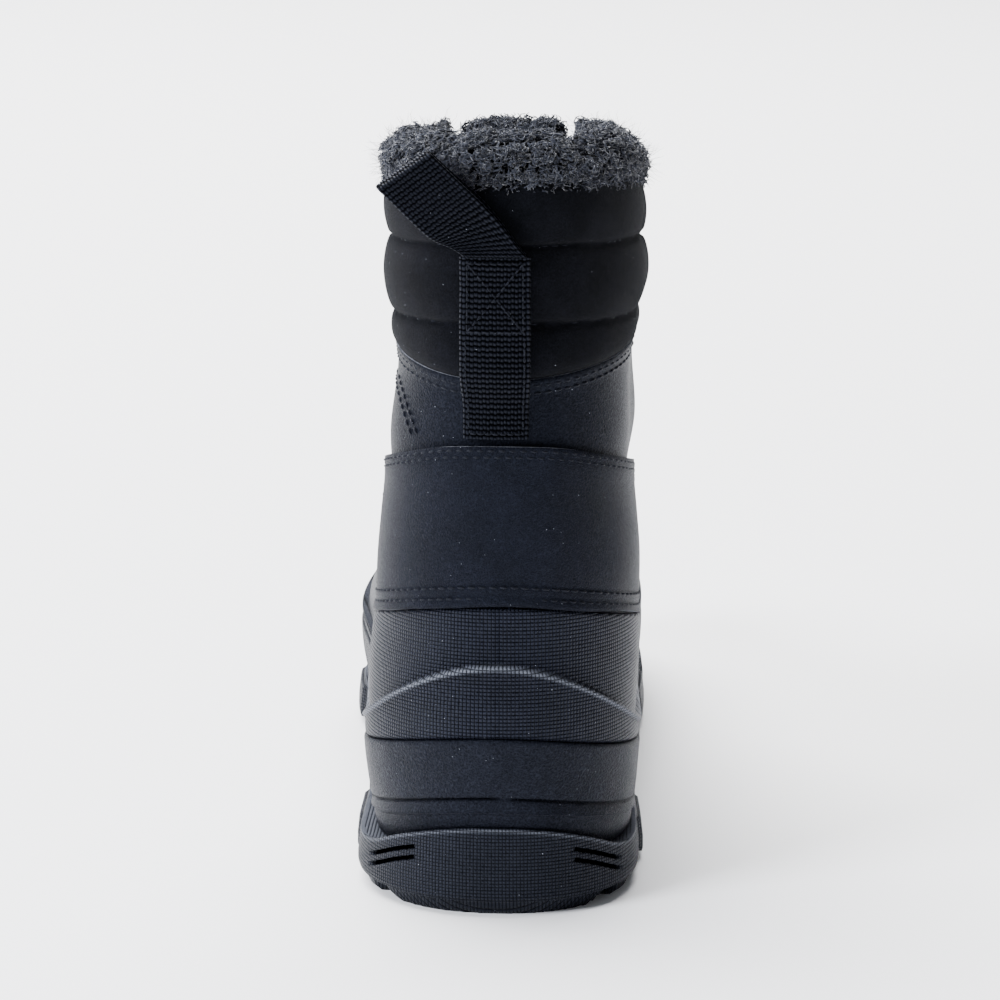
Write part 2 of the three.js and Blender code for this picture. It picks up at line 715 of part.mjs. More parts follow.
// Tongue: a pad behind the throat, between two forms within the upper
function tongue() {
  const rightSide = [
    [tongueHalfWidth * 0.8, throatBottom - tongueOverlap],
    [tongueHalfWidth, throatBottom + 2 * tongueOverlap],
    [tongueHalfWidth, tongueNeck - tongueOverlap],
    [tongueTopHalfWidth, tongueNeck + tongueThickness],
    [tongueTopHalfWidth, throatTop + tongueRise],
  ];
  const outline = [...rightSide, ...rightSide.map(([x, z]) => [-x, z]).reverse()];
  const outer = -wall - 2 * gap;
  const above = 2 * tongueThickness;
  const layer = innerForm(outer, above).subtract(innerForm(outer - tongueThickness, 1.5 * above));
  return geometryFrom(layer.intersect(prism(outline, 'y', shaftDepth / 2, soleLength)));
}

// Insole: a pad on the midsole, inside the upper
function insole() {
  const wide = ring((c) => lineHeight(lines.seat, c), bandThickness);
  const slab = stack([grounded(wide, 'seat', 2 * gap), grounded(wide, 'seat', insoleThickness)]);
  return geometryFrom(innerForm(-wall - gap, 0).intersect(solidOf(slab)));
}

// Repeatable spread of numbers from 0 to 1, for the locks
function spread(k) {
  const value = Math.sin(k * 12.9898) * 43758.5453;
  return value - Math.floor(value);
}

// Tuft of fleece fused on to a roll
function lock(centre, radius, turn) {
  const tuft = new THREE.IcosahedronGeometry(radius, 0);
  tuft.rotateX(turn);
  tuft.rotateZ(turn * 2);
  tuft.scale(1, 1, 0.85);
  tuft.translate(centre.x, centre.y, centre.z);
  return solidOf(tuft);
}

// Point kept beside the throat, where the roll's ends would close in on the tongue
function keptBeside(point) {
  const limit = throatTopWidth / 2 + 1;
  if (point.y > 0 && Math.abs(point.x) < limit) point.x = Math.sign(point.x) * limit;
  return point;
}

// Roll of fleece along the collar, from throat edge to throat edge, with locks on it
function fleeceRoll(fromColumn, toColumn) {
  const loops = Array.from({ length: rollSteps + 1 }, (unused, k) => {
    const c = mix(fromColumn, toColumn, k / rollSteps);
    const base = lineHeight(lines.collar, c);
    return rollProfile.map(([out, up]) => keptBeside(skin(c, base, out).setZ(base + up)));
  });
  let roll = solidOf(loft(loops));
  for (let k = 0; k < locksRound; k += 1) {
    const c = mix(fromColumn, toColumn, (k + 0.5) / locksRound);
    const base = lineHeight(lines.collar, c);
    const row = lockRows[k % lockRows.length];
    const up = fleeceHeight - lockRadius * (row.sink - 0.4 * spread(k));
    const radius = lockRadius * mix(0.9, 1.1, spread(k + 7));
    roll = roll.add(lock(skin(c, base, row.out * fleeceHeight).setZ(base + up), radius, spread(k + 3) * 3));
  }
  return geometryFrom(roll);
}

function collarFleece() {
  const beside = throatTopWidth / 2 + throatClearance;
  return fleeceRoll(columnBeside(beside, throatTop, -1), columnBeside(beside, throatTop, 1));
}

function tongueFleece() {
  const within = tongueTopHalfWidth - gap;
  const edge = columnBeside(within, throatTop, 1);
  const otherEdge = columnBeside(within, throatTop, -1);
  const loops = [-1, -0.6, -0.2, 0.2, 0.6, 1].map((t) => {
    const c = t > 0 ? mix(1, edge, t) : -mix(1, -otherEdge, -t);
    return tongueRollProfile.map(([out, up]) => skin(c, throatTop, out).setZ(throatTop + up));
  });
  return geometryFrom(solidOf(loft(loops)));
}

// Strip of webbing sewn up the back, from the counter to the pull loop
function heelStrip() {
  const rows = [...steps(stripBottom, loopSeamHeight - gap, 9), loopSeamHeight - gap];
  const sideColumn = (z) => {
    let [near, far] = [0, heelEnd];
    for (let k = 0; k < 30; k += 1) {
      const middle = (near + far) / 2;
      if (skinPoint(middle, z).x < webbingWidth / 2) near = middle;
      else far = middle;
    }
    return near;
  };
  const bulge = puffRise + cuffStep;
  const cuffEdge = lines.cuff.rear * collarHeight;
  const swell = (z) => smooth((z - counterTop) / (cuffEdge + puffPitch / 4 - counterTop));
  const stand = (z) => gap + stripStandOff + bulge * swell(z);
  const loops = rows.map((z) => {
    const edge = sideColumn(z);
    const across = [-1, -0.5, 0, 0.5, 1];
    const front = across.map((t) => skin(edge * t, z, stand(z)));
    const back = across.map((t) => skin(-edge * t, z, stand(z) + webbingThickness));
    return [...front, ...back];
  });
  return geometryFrom(solidOf(loft(loops)));
}

// Pull loop: the same webbing, folded flat on itself and leaning outward over the fleece
function pullLoop() {
  const inner = loopGap / 2;
  const outer = inner + webbingThickness;
  const arc = (radius, from, to) => [0, 1, 2, 3, 4].map((k) => {
    const angle = mix(from, to, k / 4);
    return [Math.cos(angle) * radius, loopLength - outer + Math.sin(angle) * radius];
  });
  const outside = [[outer, 0], ...arc(outer, 0, Math.PI), [-outer, 0]];
  const outline = [...outside, [-inner, 0], ...arc(inner, Math.PI, 0), [inner, 0]];
  const shape = new THREE.Shape(outline.map(([u, v]) => new THREE.Vector2(u, v)));
  const band = new THREE.ExtrudeGeometry(shape, { depth: webbingWidth, bevelEnabled: false });
  band.translate(0, 0, -webbingWidth / 2);
  const across = new THREE.Vector3(1, 0, 0);
  const depth = new THREE.Vector3(0, 1, 0);
  const rise = new THREE.Vector3(0, 0, 1);
  band.applyMatrix4(new THREE.Matrix4().makeBasis(depth, rise, across));
  const foot = skin(0, loopSeamHeight, puffRise + cuffStep + gap + webbingThickness + loopGap / 2);
  const lean = THREE.MathUtils.degToRad(loopLean);
  const fullTurn = THREE.MathUtils.degToRad(loopTurn);
  const position = band.attributes.position;
  for (let k = 0; k < position.count; k += 1) {
    const [x, y, climb] = [position.getX(k), position.getY(k), position.getZ(k)];
    const turn = fullTurn * smooth(climb / (loopLength / 2));
    position.setXYZ(
      k,
      foot.x + x * Math.cos(turn) - climb * Math.sin(lean),
      foot.y + y - loopStandOff * smooth(climb / loopLength),
      loopSeamHeight + x * Math.sin(turn) + climb * Math.cos(lean));
  }
  return geometryFrom(solidOf(band));
}

// Place on an eyestay of one eyelet: column, height and distance over the skin
function eyeletPlace(pair, side) {
  const height = mix(lowestEyelet, highestEyelet, pair / (eyeletPairs - 1));
  const column = columnBeside(throatWidthAt(height) / 2 + eyeletInset, height, side);
  return { column, height };
}

const overEyestay = (column, height) => quilting(column, height) + 2 * gap + eyestayThickness;

// Ring or disc turned about the skin's normal at an eyelet's place, at a distance over the eyestay
function turnedOnEyestay(profile, pair, side, over) {
  const { column, height } = eyeletPlace(pair, side);
  const out = overEyestay(column, height) + over;
  const round = new THREE.LatheGeometry(profile.map(([r, h]) => new THREE.Vector2(r, h)), eyeletSides);
  const base = skin(column, height, out);
  const normal = skin(column, height, out + 1).sub(base).normalize();
  round.applyQuaternion(new THREE.Quaternion().setFromUnitVectors(axisOfLathe, normal));
  round.translate(base.x, base.y, base.z);
  return solidOf(round);
}

// Room for one eyelet, cut from the eyestay where that would stand too proud
function eyeletSeat(pair, side) {
  const reach = (eyeletRadius + gap) / Math.cos(Math.PI / eyeletSides);
  const high = eyeletThickness + eyestayThickness;
  return turnedOnEyestay([[0, 0], [reach, 0], [reach, high], [0, high]], pair, side, gap / 2);
}

function eyelet(pair, side) {
  const section = [
    [eyeletHole, 0], [eyeletRadius, 0], [eyeletRadius - eyeletBevel, eyeletThickness],
    [eyeletHole, eyeletThickness], [eyeletHole, 0],
  ];
  return geometryFrom(turnedOnEyestay(section, pair, side, gap));
}

// Bar of lace across the throat, from eyelet to eyelet
function laceBar(pair) {
  const inner = eyeletPlace(pair, 1);
  const outer = eyeletPlace(pair, -1);
  const lift = overEyestay(inner.column, inner.height) + 4 * gap + eyeletThickness + laceRadius;
  const reach = inner.column;
  const points = [-1, -0.7, -0.4, -0.1, 0.2, 0.5, 0.75, 1].map((t) => {
    const c = t >= 0 ? mix(1, reach, t) : -mix(1, -outer.column, -t);
    return skin(c, inner.height, lift);
  });
  const path = new THREE.CatmullRomCurve3(points);
  const round = new THREE.Shape();
  round.absarc(0, 0, laceRadius, 0, Math.PI * 2);
  const bar = new THREE.ExtrudeGeometry(round, { steps: 5, curveSegments: 3, extrudePath: path });
  return geometryFrom(solidOf(bar));
}

add('outsole', outsole(), 'rubber');
add('midsole', midsole(), 'rubber');
add('shell', shell(), 'shellRubber');
add('insole', insole(), 'fleece');
add('upper', upper(), 'leather');
add('tongue', tongue(), 'nubuck');
add('heel_counter', heelCounter(), 'leather');
add('eyestay_outer', eyestay(-1), 'leather');
add('eyestay_inner', eyestay(1), 'leather');
add('collar_fleece', collarFleece(), 'fleece');
add('tongue_fleece', tongueFleece(), 'fleece');
add('heel_strip', heelStrip(), 'webbing');
add('pull_loop', pullLoop(), 'webbing');
for (let pair = 0; pair < eyeletPairs; pair += 1) {
  add(`lace_bar_${pair + 1}`, laceBar(pair), 'lace');
  add(`eyelet_outer_${pair + 1}`, eyelet(pair, -1), 'metal');
  add(`eyelet_inner_${pair + 1}`, eyelet(pair, 1), 'metal');
}

export default boot;
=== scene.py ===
# %% [markdown]
# # A left winter boot
# The real boot has a thick rubber outsole, a moulded band, a rubber shell round the foot, a leather
# upper whose cuff is quilted, and a curly fleece collar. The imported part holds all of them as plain
# solids, and this script gives each one the surface that the eye meets. Every shape starts from one
# function, the skin of the foot, so that neighbouring pieces fit each other without any fitting.

import bmesh
import bpy
import numpy as np
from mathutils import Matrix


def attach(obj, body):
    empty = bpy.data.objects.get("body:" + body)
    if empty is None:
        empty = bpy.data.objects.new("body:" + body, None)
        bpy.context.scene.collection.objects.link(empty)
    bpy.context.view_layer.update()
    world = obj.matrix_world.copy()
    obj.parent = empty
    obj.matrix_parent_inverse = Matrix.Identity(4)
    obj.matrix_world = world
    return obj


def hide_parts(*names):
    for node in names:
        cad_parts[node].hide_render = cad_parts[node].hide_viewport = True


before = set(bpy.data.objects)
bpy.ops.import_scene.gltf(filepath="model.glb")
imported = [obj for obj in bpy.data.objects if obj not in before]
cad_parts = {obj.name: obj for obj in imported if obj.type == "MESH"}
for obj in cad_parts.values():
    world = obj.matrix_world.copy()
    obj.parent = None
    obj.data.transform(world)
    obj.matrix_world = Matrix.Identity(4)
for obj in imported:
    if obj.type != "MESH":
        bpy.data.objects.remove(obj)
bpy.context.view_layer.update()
print("nodes in the packed part:", len(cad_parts))

# %% [markdown]
# ## The last
# A shoemaker's last is a foot-shaped block, and everything on the boot is measured from it. Here it is
# a short table of level sections. Each row gives how far the section reaches to the rear and front and
# how wide it is at heel, waist and ball. A modelled mesh could be traced instead, but a table with a
# smooth curve between its rows gives any point of the skin, at any fineness, from one formula.

# %% Sizes of the boot in millimetres
SOLE_LENGTH = 300.0
HEEL_TO_ORIGIN = 42.0
HEEL_WIDTH = 94.0
BALL_WIDTH = 106.0
SHAFT_WIDTH = 78.0
SHAFT_DEPTH = 120.5
INSTEP_HEIGHT = 120.0
COLLAR_HEIGHT = 230.0
TOE_SPRING = 14.0
ARCH_RISE = 3.0
GAP = 0.3
WALL = 3.2
SHELL_THICKNESS = 2.5
RIDGE_STEP = 1.7
BAND_THICKNESS = 5.1
COUNTER_THICKNESS = 2.2
EYESTAY_THICKNESS = 1.8
WEBBING_THICKNESS = 1.6
WEBBING_WIDTH = 19.0
PUFF_RISE = 2.6
PUFF_PITCH = 22.0
CUFF_STEP = 0.6
THROAT_BOTTOM = 98.0
THROAT_RADIUS = 12.0
THROAT_TOP_WIDTH = 42.0
EYESTAY_WIDTH = 21.0
FLEECE_HEIGHT = 15.5
LUG_DEPTH = 5.0
MM = 0.001

# Columns of a section: where heel, side and toe meet, as a share of the way from rear to front
HEEL_END = 0.3
TOE_START = 0.62
HEEL_DEPTH = 0.14 * SOLE_LENGTH
HEEL_FULLNESS = 2.15
TOE_FULLNESS_OUT = 2.05
TOE_FULLNESS_IN = 2.35

# height, rear, front, heel out, heel in, waist out, waist in, ball out, ball in, toe depth
FOOT_ROWS = np.array([
    [0.15, 0.028, 0.952, 0.383, 0.388, 0.377, 0.305, 0.481, 0.330, 0.260],
    [0.25, 0.025, 0.958, 0.404, 0.405, 0.406, 0.330, 0.509, 0.355, 0.260],
    [0.36, 0.023, 0.948, 0.420, 0.415, 0.415, 0.349, 0.509, 0.360, 0.267],
    [0.46, 0.021, 0.912, 0.426, 0.425, 0.410, 0.362, 0.486, 0.355, 0.280],
    [0.54, 0.020, 0.866, 0.426, 0.431, 0.401, 0.369, 0.453, 0.347, 0.300],
    [0.63, 0.019, 0.793, 0.420, 0.436, 0.387, 0.369, 0.410, 0.340, 0.323],
    [0.72, 0.018, 0.716, 0.406, 0.437, 0.368, 0.366, 0.377, 0.335, 0.333],
    [0.80, 0.017, 0.650, 0.401, 0.438, 0.354, 0.364, 0.349, 0.337, 0.320],
    [0.90, 0.016, 0.580, 0.394, 0.437, 0.352, 0.363, 0.330, 0.345, 0.280],
    [1.00, 0.018, 0.523, 0.382, 0.426, 0.350, 0.363, 0.321, 0.352, 0.233],
])
SHAFT_ROWS = np.array([
    [0.11, 0.052, 1.212, 0.446, 0.500, 0.459, 0.503, 0.430, 0.485, 0.498],
    [0.25, 0.064, 1.154, 0.452, 0.515, 0.465, 0.530, 0.425, 0.492, 0.448],
    [0.45, 0.074, 1.112, 0.421, 0.510, 0.430, 0.517, 0.400, 0.490, 0.415],
    [0.72, 0.077, 1.087, 0.438, 0.532, 0.446, 0.543, 0.418, 0.495, 0.398],
    [1.00, 0.071, 1.071, 0.442, 0.516, 0.455, 0.524, 0.426, 0.495, 0.390],
    [1.22, 0.071, 1.062, 0.442, 0.516, 0.455, 0.524, 0.426, 0.495, 0.390],
])
SOLE_ROW = np.array([0, 0.993, 0.495, 0.472, 0.440, 0.375, 0.566, 0.405, 0.275])


def sized(rows, length, heel, ball):
    """Shares of a length, a heel width and a ball width, in millimetres."""
    return rows * np.array([length, length, heel, heel, ball, ball, ball, ball, length])


foot = sized(FOOT_ROWS[:, 1:], SOLE_LENGTH, HEEL_WIDTH, BALL_WIDTH)
shaft = sized(SHAFT_ROWS[:, 1:], SHAFT_DEPTH, SHAFT_WIDTH, SHAFT_WIDTH)
SECTIONS = np.vstack([foot, shaft])
SECTION_HEIGHTS = np.concatenate([
    FOOT_ROWS[:, 0] * INSTEP_HEIGHT,
    INSTEP_HEIGHT + SHAFT_ROWS[:, 0] * (COLLAR_HEIGHT - INSTEP_HEIGHT),
])
SOLE_SECTION = sized(SOLE_ROW, SOLE_LENGTH, HEEL_WIDTH, BALL_WIDTH)
print("sections of the last:", len(SECTIONS))


# %% Curves through a table
def mix(a, b, t):
    """A straight step from a to b: a plus t times their difference."""
    return a + (b - a) * t


def smooth(t):
    """An S curve from 0 to 1: three t squared minus two t cubed, with t held between 0 and 1."""
    t = np.clip(t, 0, 1)
    return t * t * (3 - 2 * t)


def through(rows, keys, at):
    """Smooth curve through rows of values. Between two rows it is the cubic that meets both rows
    with the slopes from their neighbours."""
    rows, keys, at = np.asarray(rows, float), np.asarray(keys, float), np.asarray(at, float)
    k = np.searchsorted(keys[1:-1], at, side="left")
    before, after = np.maximum(k - 1, 0), np.minimum(k + 2, len(keys) - 1)
    width = keys[k + 1] - keys[k]
    t = np.clip((at - keys[k]) / width, 0, 1)
    grow = (slice(None),) * at.ndim + (None,) * (rows.ndim - 1)
    slope_a = (rows[k + 1] - rows[before]) * (width / (keys[k + 1] - keys[before]))[grow]
    slope_b = (rows[after] - rows[k]) * (width / (keys[after] - keys[k]))[grow]
    t = t[grow]
    start = (1 + 2 * t) * (1 - t) ** 2 * rows[k] + t * (1 - t) ** 2 * slope_a
    return start + t * t * (3 - 2 * t) * rows[k + 1] + t * t * (t - 1) * slope_b


def plan(section, column):
    """Plan position of a column, which is 0 at the rear and 1 at the front, plus on the inner side
    and minus on the outer: a full heel arc, a waist with two easy bends, and a toe arc."""
    rear, front, heel_out, heel_in, waist_out, waist_in, ball_out, ball_in, toe_depth = np.moveaxis(
        section, -1, 0)
    inner = column >= 0
    c = np.minimum(np.abs(column), 1)
    heel = np.where(inner, heel_in, heel_out)
    waist = np.where(inner, waist_in, waist_out)
    ball = np.where(inner, ball_in, ball_out)
    heel_y = rear + HEEL_DEPTH
    toe_y = np.maximum(front - toe_depth, heel_y + 1)
    heel_turn = np.clip(c / HEEL_END, 0, 1) * np.pi / 2
    power = 2 / HEEL_FULLNESS
    heel_x = heel * np.sin(heel_turn) ** power
    heel_arc_y = heel_y - HEEL_DEPTH * np.clip(np.cos(heel_turn), 0, 1) ** power
    t = np.clip((c - HEEL_END) / (TOE_START - HEEL_END), 0, 1)
    side_x = np.where(
        t < 0.5, mix(heel, waist, smooth(2 * t)), mix(waist, ball, smooth(2 * t - 1)))
    toe_turn = np.clip((1 - c) / (1 - TOE_START), 0, 1) * np.pi / 2
    power = 2 / np.where(inner, TOE_FULLNESS_IN, TOE_FULLNESS_OUT)
    toe_x = ball * np.sin(toe_turn) ** power
    toe_arc_y = toe_y + (front - toe_y) * np.clip(np.cos(toe_turn), 0, 1) ** power
    places = [c < HEEL_END, c < TOE_START]
    x = np.select(places, [heel_x, side_x], toe_x)
    y = np.select(places, [heel_arc_y, mix(heel_y, toe_y, t)], toe_arc_y)
    return np.stack([np.where(inner, x, -x), y - HEEL_TO_ORIGIN], -1)


def wrapped(column):
    """A column past the front carried on along the other side."""
    return np.where(column > 1, column - 2, np.where(column < -1, column + 2, column))


def skin(column, height, out=0.0):
    """Point of the last's skin at a column and a height, moved out along the skin's own normal."""
    column, height, out = np.broadcast_arrays(
        np.asarray(column, float), np.asarray(height, float), np.asarray(out, float))

    def at(c, z):
        return np.concatenate([plan(through(SECTIONS, SECTION_HEIGHTS, z), c), z[..., None]], -1)

    along = at(wrapped(column + 0.006), height) - at(wrapped(column - 0.006), height)
    up = at(column, height + 0.5) - at(column, height - 0.5)
    normal = np.cross(along, up)
    normal /= np.linalg.norm(normal, axis=-1, keepdims=True)
    return at(column, height) + normal * out[..., None]


# %% [markdown]
# ## Lines round the boot
# A maker draws the edges of the panels on the last before cutting them. Each line is a height at the
# rear, the heel's side, the waist and the front, joined by the same smooth curve as the sections.

# %% Lines and floors
WAIST_COLUMN = (HEEL_END + TOE_START) / 2
LINES = {
    "seat": (0.290, 0.245, 0.205, 0.165, INSTEP_HEIGHT),
    "flange": (0.283, 0.187, 0.180, 0.172, INSTEP_HEIGHT),
    "groove": (0.321, 0.218, 0.213, 0.205, INSTEP_HEIGHT),
    "band_top": (0.483, 0.380, 0.350, 0.317, INSTEP_HEIGHT),
    "ridge": (0.679, 0.435, 0.392, 0.417, INSTEP_HEIGHT),
    "shell_top": (0.833, 0.722, 0.617, 0.525, INSTEP_HEIGHT),
    "cuff": (0.735, 0.760, 0.755, 0.735, COLLAR_HEIGHT),
    "low_seam": (0.813, 0.803, 0.798, 0.790, COLLAR_HEIGHT),
    "high_seam": (0.917, 0.905, 0.893, 0.878, COLLAR_HEIGHT),
    "collar": (1.000, 0.985, 0.968, 0.952, COLLAR_HEIGHT),
}
FLOORS_AT = np.array([0.000, 0.028, 0.073, 0.140, 0.400, 0.700, 1.000])
FLOORS = {
    "ledge": np.array([0.240, 0.200, 0.145, 0.135, 0.132, 0.128, 0.122]) * INSTEP_HEIGHT,
    "seat": np.array([0.290, 0.275, 0.255, 0.243, 0.205, 0.175, 0.165]) * INSTEP_HEIGHT,
}


def line(name, column):
    """Height of a named line at a column, the same curve on both sides of the foot."""
    rear, side, waist, front, unit = LINES[name]
    stations = [-HEEL_END, 0, HEEL_END, WAIST_COLUMN, 1, 2 - WAIST_COLUMN]
    heights = np.array([side, rear, side, waist, front, waist]) * unit
    return through(heights, stations, np.minimum(np.abs(column), 1))


def floor_height(name, y):
    """Height of the outsole's ledge or the insole's seat at a distance along the boot."""
    return through(FLOORS[name], FLOORS_AT, np.clip((y + HEEL_TO_ORIGIN) / SOLE_LENGTH, 0, 1))


def quilting(column, height):
    """Rise of the quilted cuff over the skin: between two seams, a half sine raised to a power,
    which gives a full puff and a narrow valley."""
    names = ("cuff", "low_seam", "high_seam", "collar")
    seams = [line(name, column) for name in names]
    rise = np.where(height >= seams[-1], CUFF_STEP, 0.0)
    for low, high in zip(seams[:-1], seams[1:]):
        t = (height - low) / (high - low)
        swell = np.minimum((high - low) / PUFF_PITCH, 1)
        puff = CUFF_STEP + PUFF_RISE * swell * np.sin(np.pi * np.clip(t, 0, 1)) ** 0.7
        rise = np.where((t > 0) & (t < 1), puff, rise)
    return rise


def throat_half_width(height):
    """Half the width of the throat: none below it, a half circle at its bottom, then straight."""
    top = LINES["collar"][3] * COLLAR_HEIGHT
    share = np.clip((height - THROAT_BOTTOM) / (top - THROAT_BOTTOM), 0, 1)
    straight = mix(THROAT_RADIUS, THROAT_TOP_WIDTH / 2, share)
    down = np.clip(THROAT_BOTTOM + THROAT_RADIUS - height, 0, THROAT_RADIUS)
    arc = np.sqrt(np.clip(THROAT_RADIUS ** 2 - down ** 2, 0, None))
    return np.where(height < THROAT_BOTTOM, 0, np.where(down > 0, arc, straight))


def column_beside(distance, height, side):
    """Column of the toe arc whose skin lies a distance beside the middle: the toe arc's own formula
    turned round."""
    section = through(SECTIONS, SECTION_HEIGHTS, height)
    ball = section[..., 7 if side > 0 else 6]
    fullness = TOE_FULLNESS_IN if side > 0 else TOE_FULLNESS_OUT
    turn = np.arcsin(np.clip(distance / ball, 0, 1) ** (fullness / 2))
    return side * (1 - turn * 2 / np.pi * (1 - TOE_START))


def bent(points):
    """Toe spring and the hollow under the waist, as the part has them, given to points in
    millimetres. The toe rises with the square of the way from the ball."""
    ball_y = SOLE_LENGTH * 0.667 - HEEL_TO_ORIGIN
    waist_y = SOLE_LENGTH * 0.37 - HEEL_TO_ORIGIN
    reach = SOLE_LENGTH * 0.13
    ledge = floor_height("ledge", np.array(waist_y))
    y, z = points[..., 1], points[..., 2]
    t = np.maximum((y - ball_y) / (SOLE_LENGTH - HEEL_TO_ORIGIN - ball_y), 0)
    arch = np.clip(1 - ((y - waist_y) / reach) ** 2, 0, 1) * np.clip(1 - z / ledge, 0, 1)
    moved = points.copy()
    moved[..., 2] = z + TOE_SPRING * t * t + ARCH_RISE * arch
    return moved


heel_check = skin(0.0, line("shell_top", 0.0))
print("skin at the rear of the shell's top:", np.round(heel_check, 1))


# %% [markdown]
# ## From numbers to meshes
# A surface here is always a grid of points, computed as whole arrays. One helper turns a grid into a
# mesh and gives it a UV map measured along the surface in metres, so that a weave or a moulded
# texture keeps its real size wherever the surface stretches.

# %% Mesh helpers
def measured_uv(points, closed):
    """UV of a grid in metres. On a closed wall it is the height, and the distance walked along
    the middle row, started in its middle so that a pattern stays even on both sides. On an open
    surface, such as a sole, it is the plan position."""
    if not closed:
        return points[..., :2] * MM
    walk = np.concatenate([points, points[:, :1]], 1)
    along = np.cumsum(np.linalg.norm(np.diff(walk, axis=1), axis=-1), 1)
    along = np.concatenate([np.zeros((len(points), 1)), along], 1)
    along = np.broadcast_to(along[len(along) // 2], along.shape)
    along = along - along[:, along.shape[1] // 2][:, None]
    return np.stack([along, walk[..., 2]], -1) * MM


def grid_faces(rows, count, closed):
    """Corner numbers of the faces of a grid, once as points and once as UV places."""
    points = np.arange(rows * count).reshape(rows, count)
    if closed:
        points = np.concatenate([points, points[:, :1]], 1)
    places = np.arange(rows * points.shape[1]).reshape(rows, -1)

    def corners(table):
        return np.stack(
            [table[:-1, :-1], table[:-1, 1:], table[1:, 1:], table[1:, :-1]], -1).reshape(-1, 4)

    return corners(points), corners(places)


def mesh_from(name, points, faces, uv=None, uv_faces=None):
    """Mesh from points in millimetres, faces and, where given, a UV for each corner."""
    mesh = bpy.data.meshes.new(name)
    mesh.from_pydata(points * MM, [], faces)
    if uv is not None:
        layer = mesh.uv_layers.new(name="UVMap")
        layer.data.foreach_set("uv", uv[uv_faces.ravel()].astype(np.float32).ravel())
    mesh.shade_smooth()
    mesh.validate()
    return mesh


def piece(name, mesh, finish, slot, *nodes):
    """Object at the origin with its finish. It rides on the boot's one body and stands for the
    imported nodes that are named."""
    made = bpy.data.objects.new(name, mesh)
    bpy.context.scene.collection.objects.link(made)
    mesh.materials.append(finish)
    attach(made, "root")
    if nodes:
        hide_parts(*nodes)
    print(f"{name}: {len(mesh.vertices)} points, {len(mesh.polygons)} faces")
    return made


def joined_grids(name, grids):
    """One mesh from several grids of (points, closed) or (points, closed, uv), bent with the boot.
    Points that meet within a hundredth of a millimetre are merged."""
    points, faces, uvs, uv_faces = [], [], [], []
    point_start = uv_start = 0
    for grid, closed, *own in grids:
        corner, place = grid_faces(*grid.shape[:2], closed)
        uv = (own[0] if own else measured_uv(grid, closed)).reshape(-1, 2)
        points.append(bent(grid).reshape(-1, 3))
        faces.append(corner + point_start)
        uvs.append(uv)
        uv_faces.append(place + uv_start)
        point_start += len(points[-1])
        uv_start += len(uv)
    mesh = mesh_from(
        name, np.vstack(points), np.vstack(faces), np.vstack(uvs), np.vstack(uv_faces))
    work = bmesh.new()
    work.from_mesh(mesh)
    bmesh.ops.remove_doubles(work, verts=work.verts, dist=0.01 * MM)
    work.to_mesh(mesh)
    work.free()
    mesh.shade_smooth()
    return mesh


def even_columns(count, height, start=-1.0, end=1.0):
    """Columns from start to end whose points lie about evenly along the skin at a height."""
    fine = np.linspace(start, end, 2000)
    walk = skin(fine, np.full_like(fine, height))
    length = np.concatenate([[0], np.cumsum(np.linalg.norm(np.diff(walk, axis=0), axis=-1))])
    return np.interp(np.linspace(0, length[-1], count), length, fine)


def mark(made, name, near):
    """Give a piece an attribute from a function of x, y and z in millimetres: one is 1 on moulded
    edges that are painted paler, partly as scuffs and partly as a painted highlight, and deep is 1
    inside grooves."""
    mesh = made.data
    place = np.empty(len(mesh.vertices) * 3)
    mesh.vertices.foreach_get("co", place)
    layer = mesh.attributes.new(name, "FLOAT", "POINT")
    layer.data.foreach_set("value", near(*(place.reshape(-1, 3).T / MM)).astype(np.float32))


def lumps(a, b, seed, waves=7):
    """Gentle unevenness from -1 to 1: a sum of sines that cross at odd angles, with random lengths
    and starts that are the same in each run."""
    random = np.random.default_rng(seed)
    total = np.zeros(np.broadcast(a, b).shape)
    for _ in range(waves):
        angle, length, start = random.uniform(0, np.pi), random.uniform(0.6, 1.6), random.uniform(0, 7)
        total += np.sin((a * np.cos(angle) + b * np.sin(angle)) / length + start)
    return total / waves


def ripples(columns, rise, count, seed):
    """Unevenness that runs on round the foot without a seam: the column is read as an angle."""
    angle = np.pi * columns
    return lumps(count * np.sin(angle) + rise, count * np.cos(angle) - 0.7 * rise, seed)


def solidified(made, thickness, rim=None):
    """A wall of real thickness behind a surface, in millimetres, finished with a modifier. Its rim may
    have a material of its own, the colour of the panel's cut edge; a pale one is partly a painted
    highlight."""
    wall = made.modifiers.new("Wall", "SOLIDIFY")
    wall.thickness = thickness * MM
    wall.offset = -1
    if rim:
        made.data.materials.append(rim)
        wall.material_offset_rim = 1


# %% [markdown]
# ## Finishes
# Everything on this boot is close to black, so what tells the materials apart is how they take the
# light: rubber has a soft even shine with a moulded grid, coated leather a broader sheen with fine
# grain, brushed nubuck and fleece almost none. Each finish reads the piece's own UV map in metres or
# its object coordinates, so a pattern has its real size.

# %% Nodes and colours
# Knots of the webbing's weave: their spacing both ways, and how far each rib is shifted
KNOT_ACROSS, KNOT_ALONG, KNOT_SHIFT = 1.0, 1.65, 0.14
# How far the yarns stray from their places, in millimetres
STRAY = 0.45


def linear(code):
    """sRGB hex to the linear colour that the renderer wants."""
    parts = np.array([int(code[k:k + 2], 16) for k in (0, 2, 4)]) / 255
    low, high = parts / 12.92, ((parts + 0.055) / 1.055) ** 2.4
    return (*np.where(parts <= 0.04045, low, high), 1.0)


def add(tree, kind, inputs=None, **settings):
    """A node of a kind with its settings. Inputs are numbers, colours or other nodes' outputs."""
    made = tree.nodes.new("ShaderNode" + kind)
    for name, value in settings.items():
        setattr(made, name, value)
    for key, value in (inputs or {}).items():
        if isinstance(value, bpy.types.NodeSocket):
            tree.links.new(value, made.inputs[key])
        else:
            made.inputs[key].default_value = value
    return made


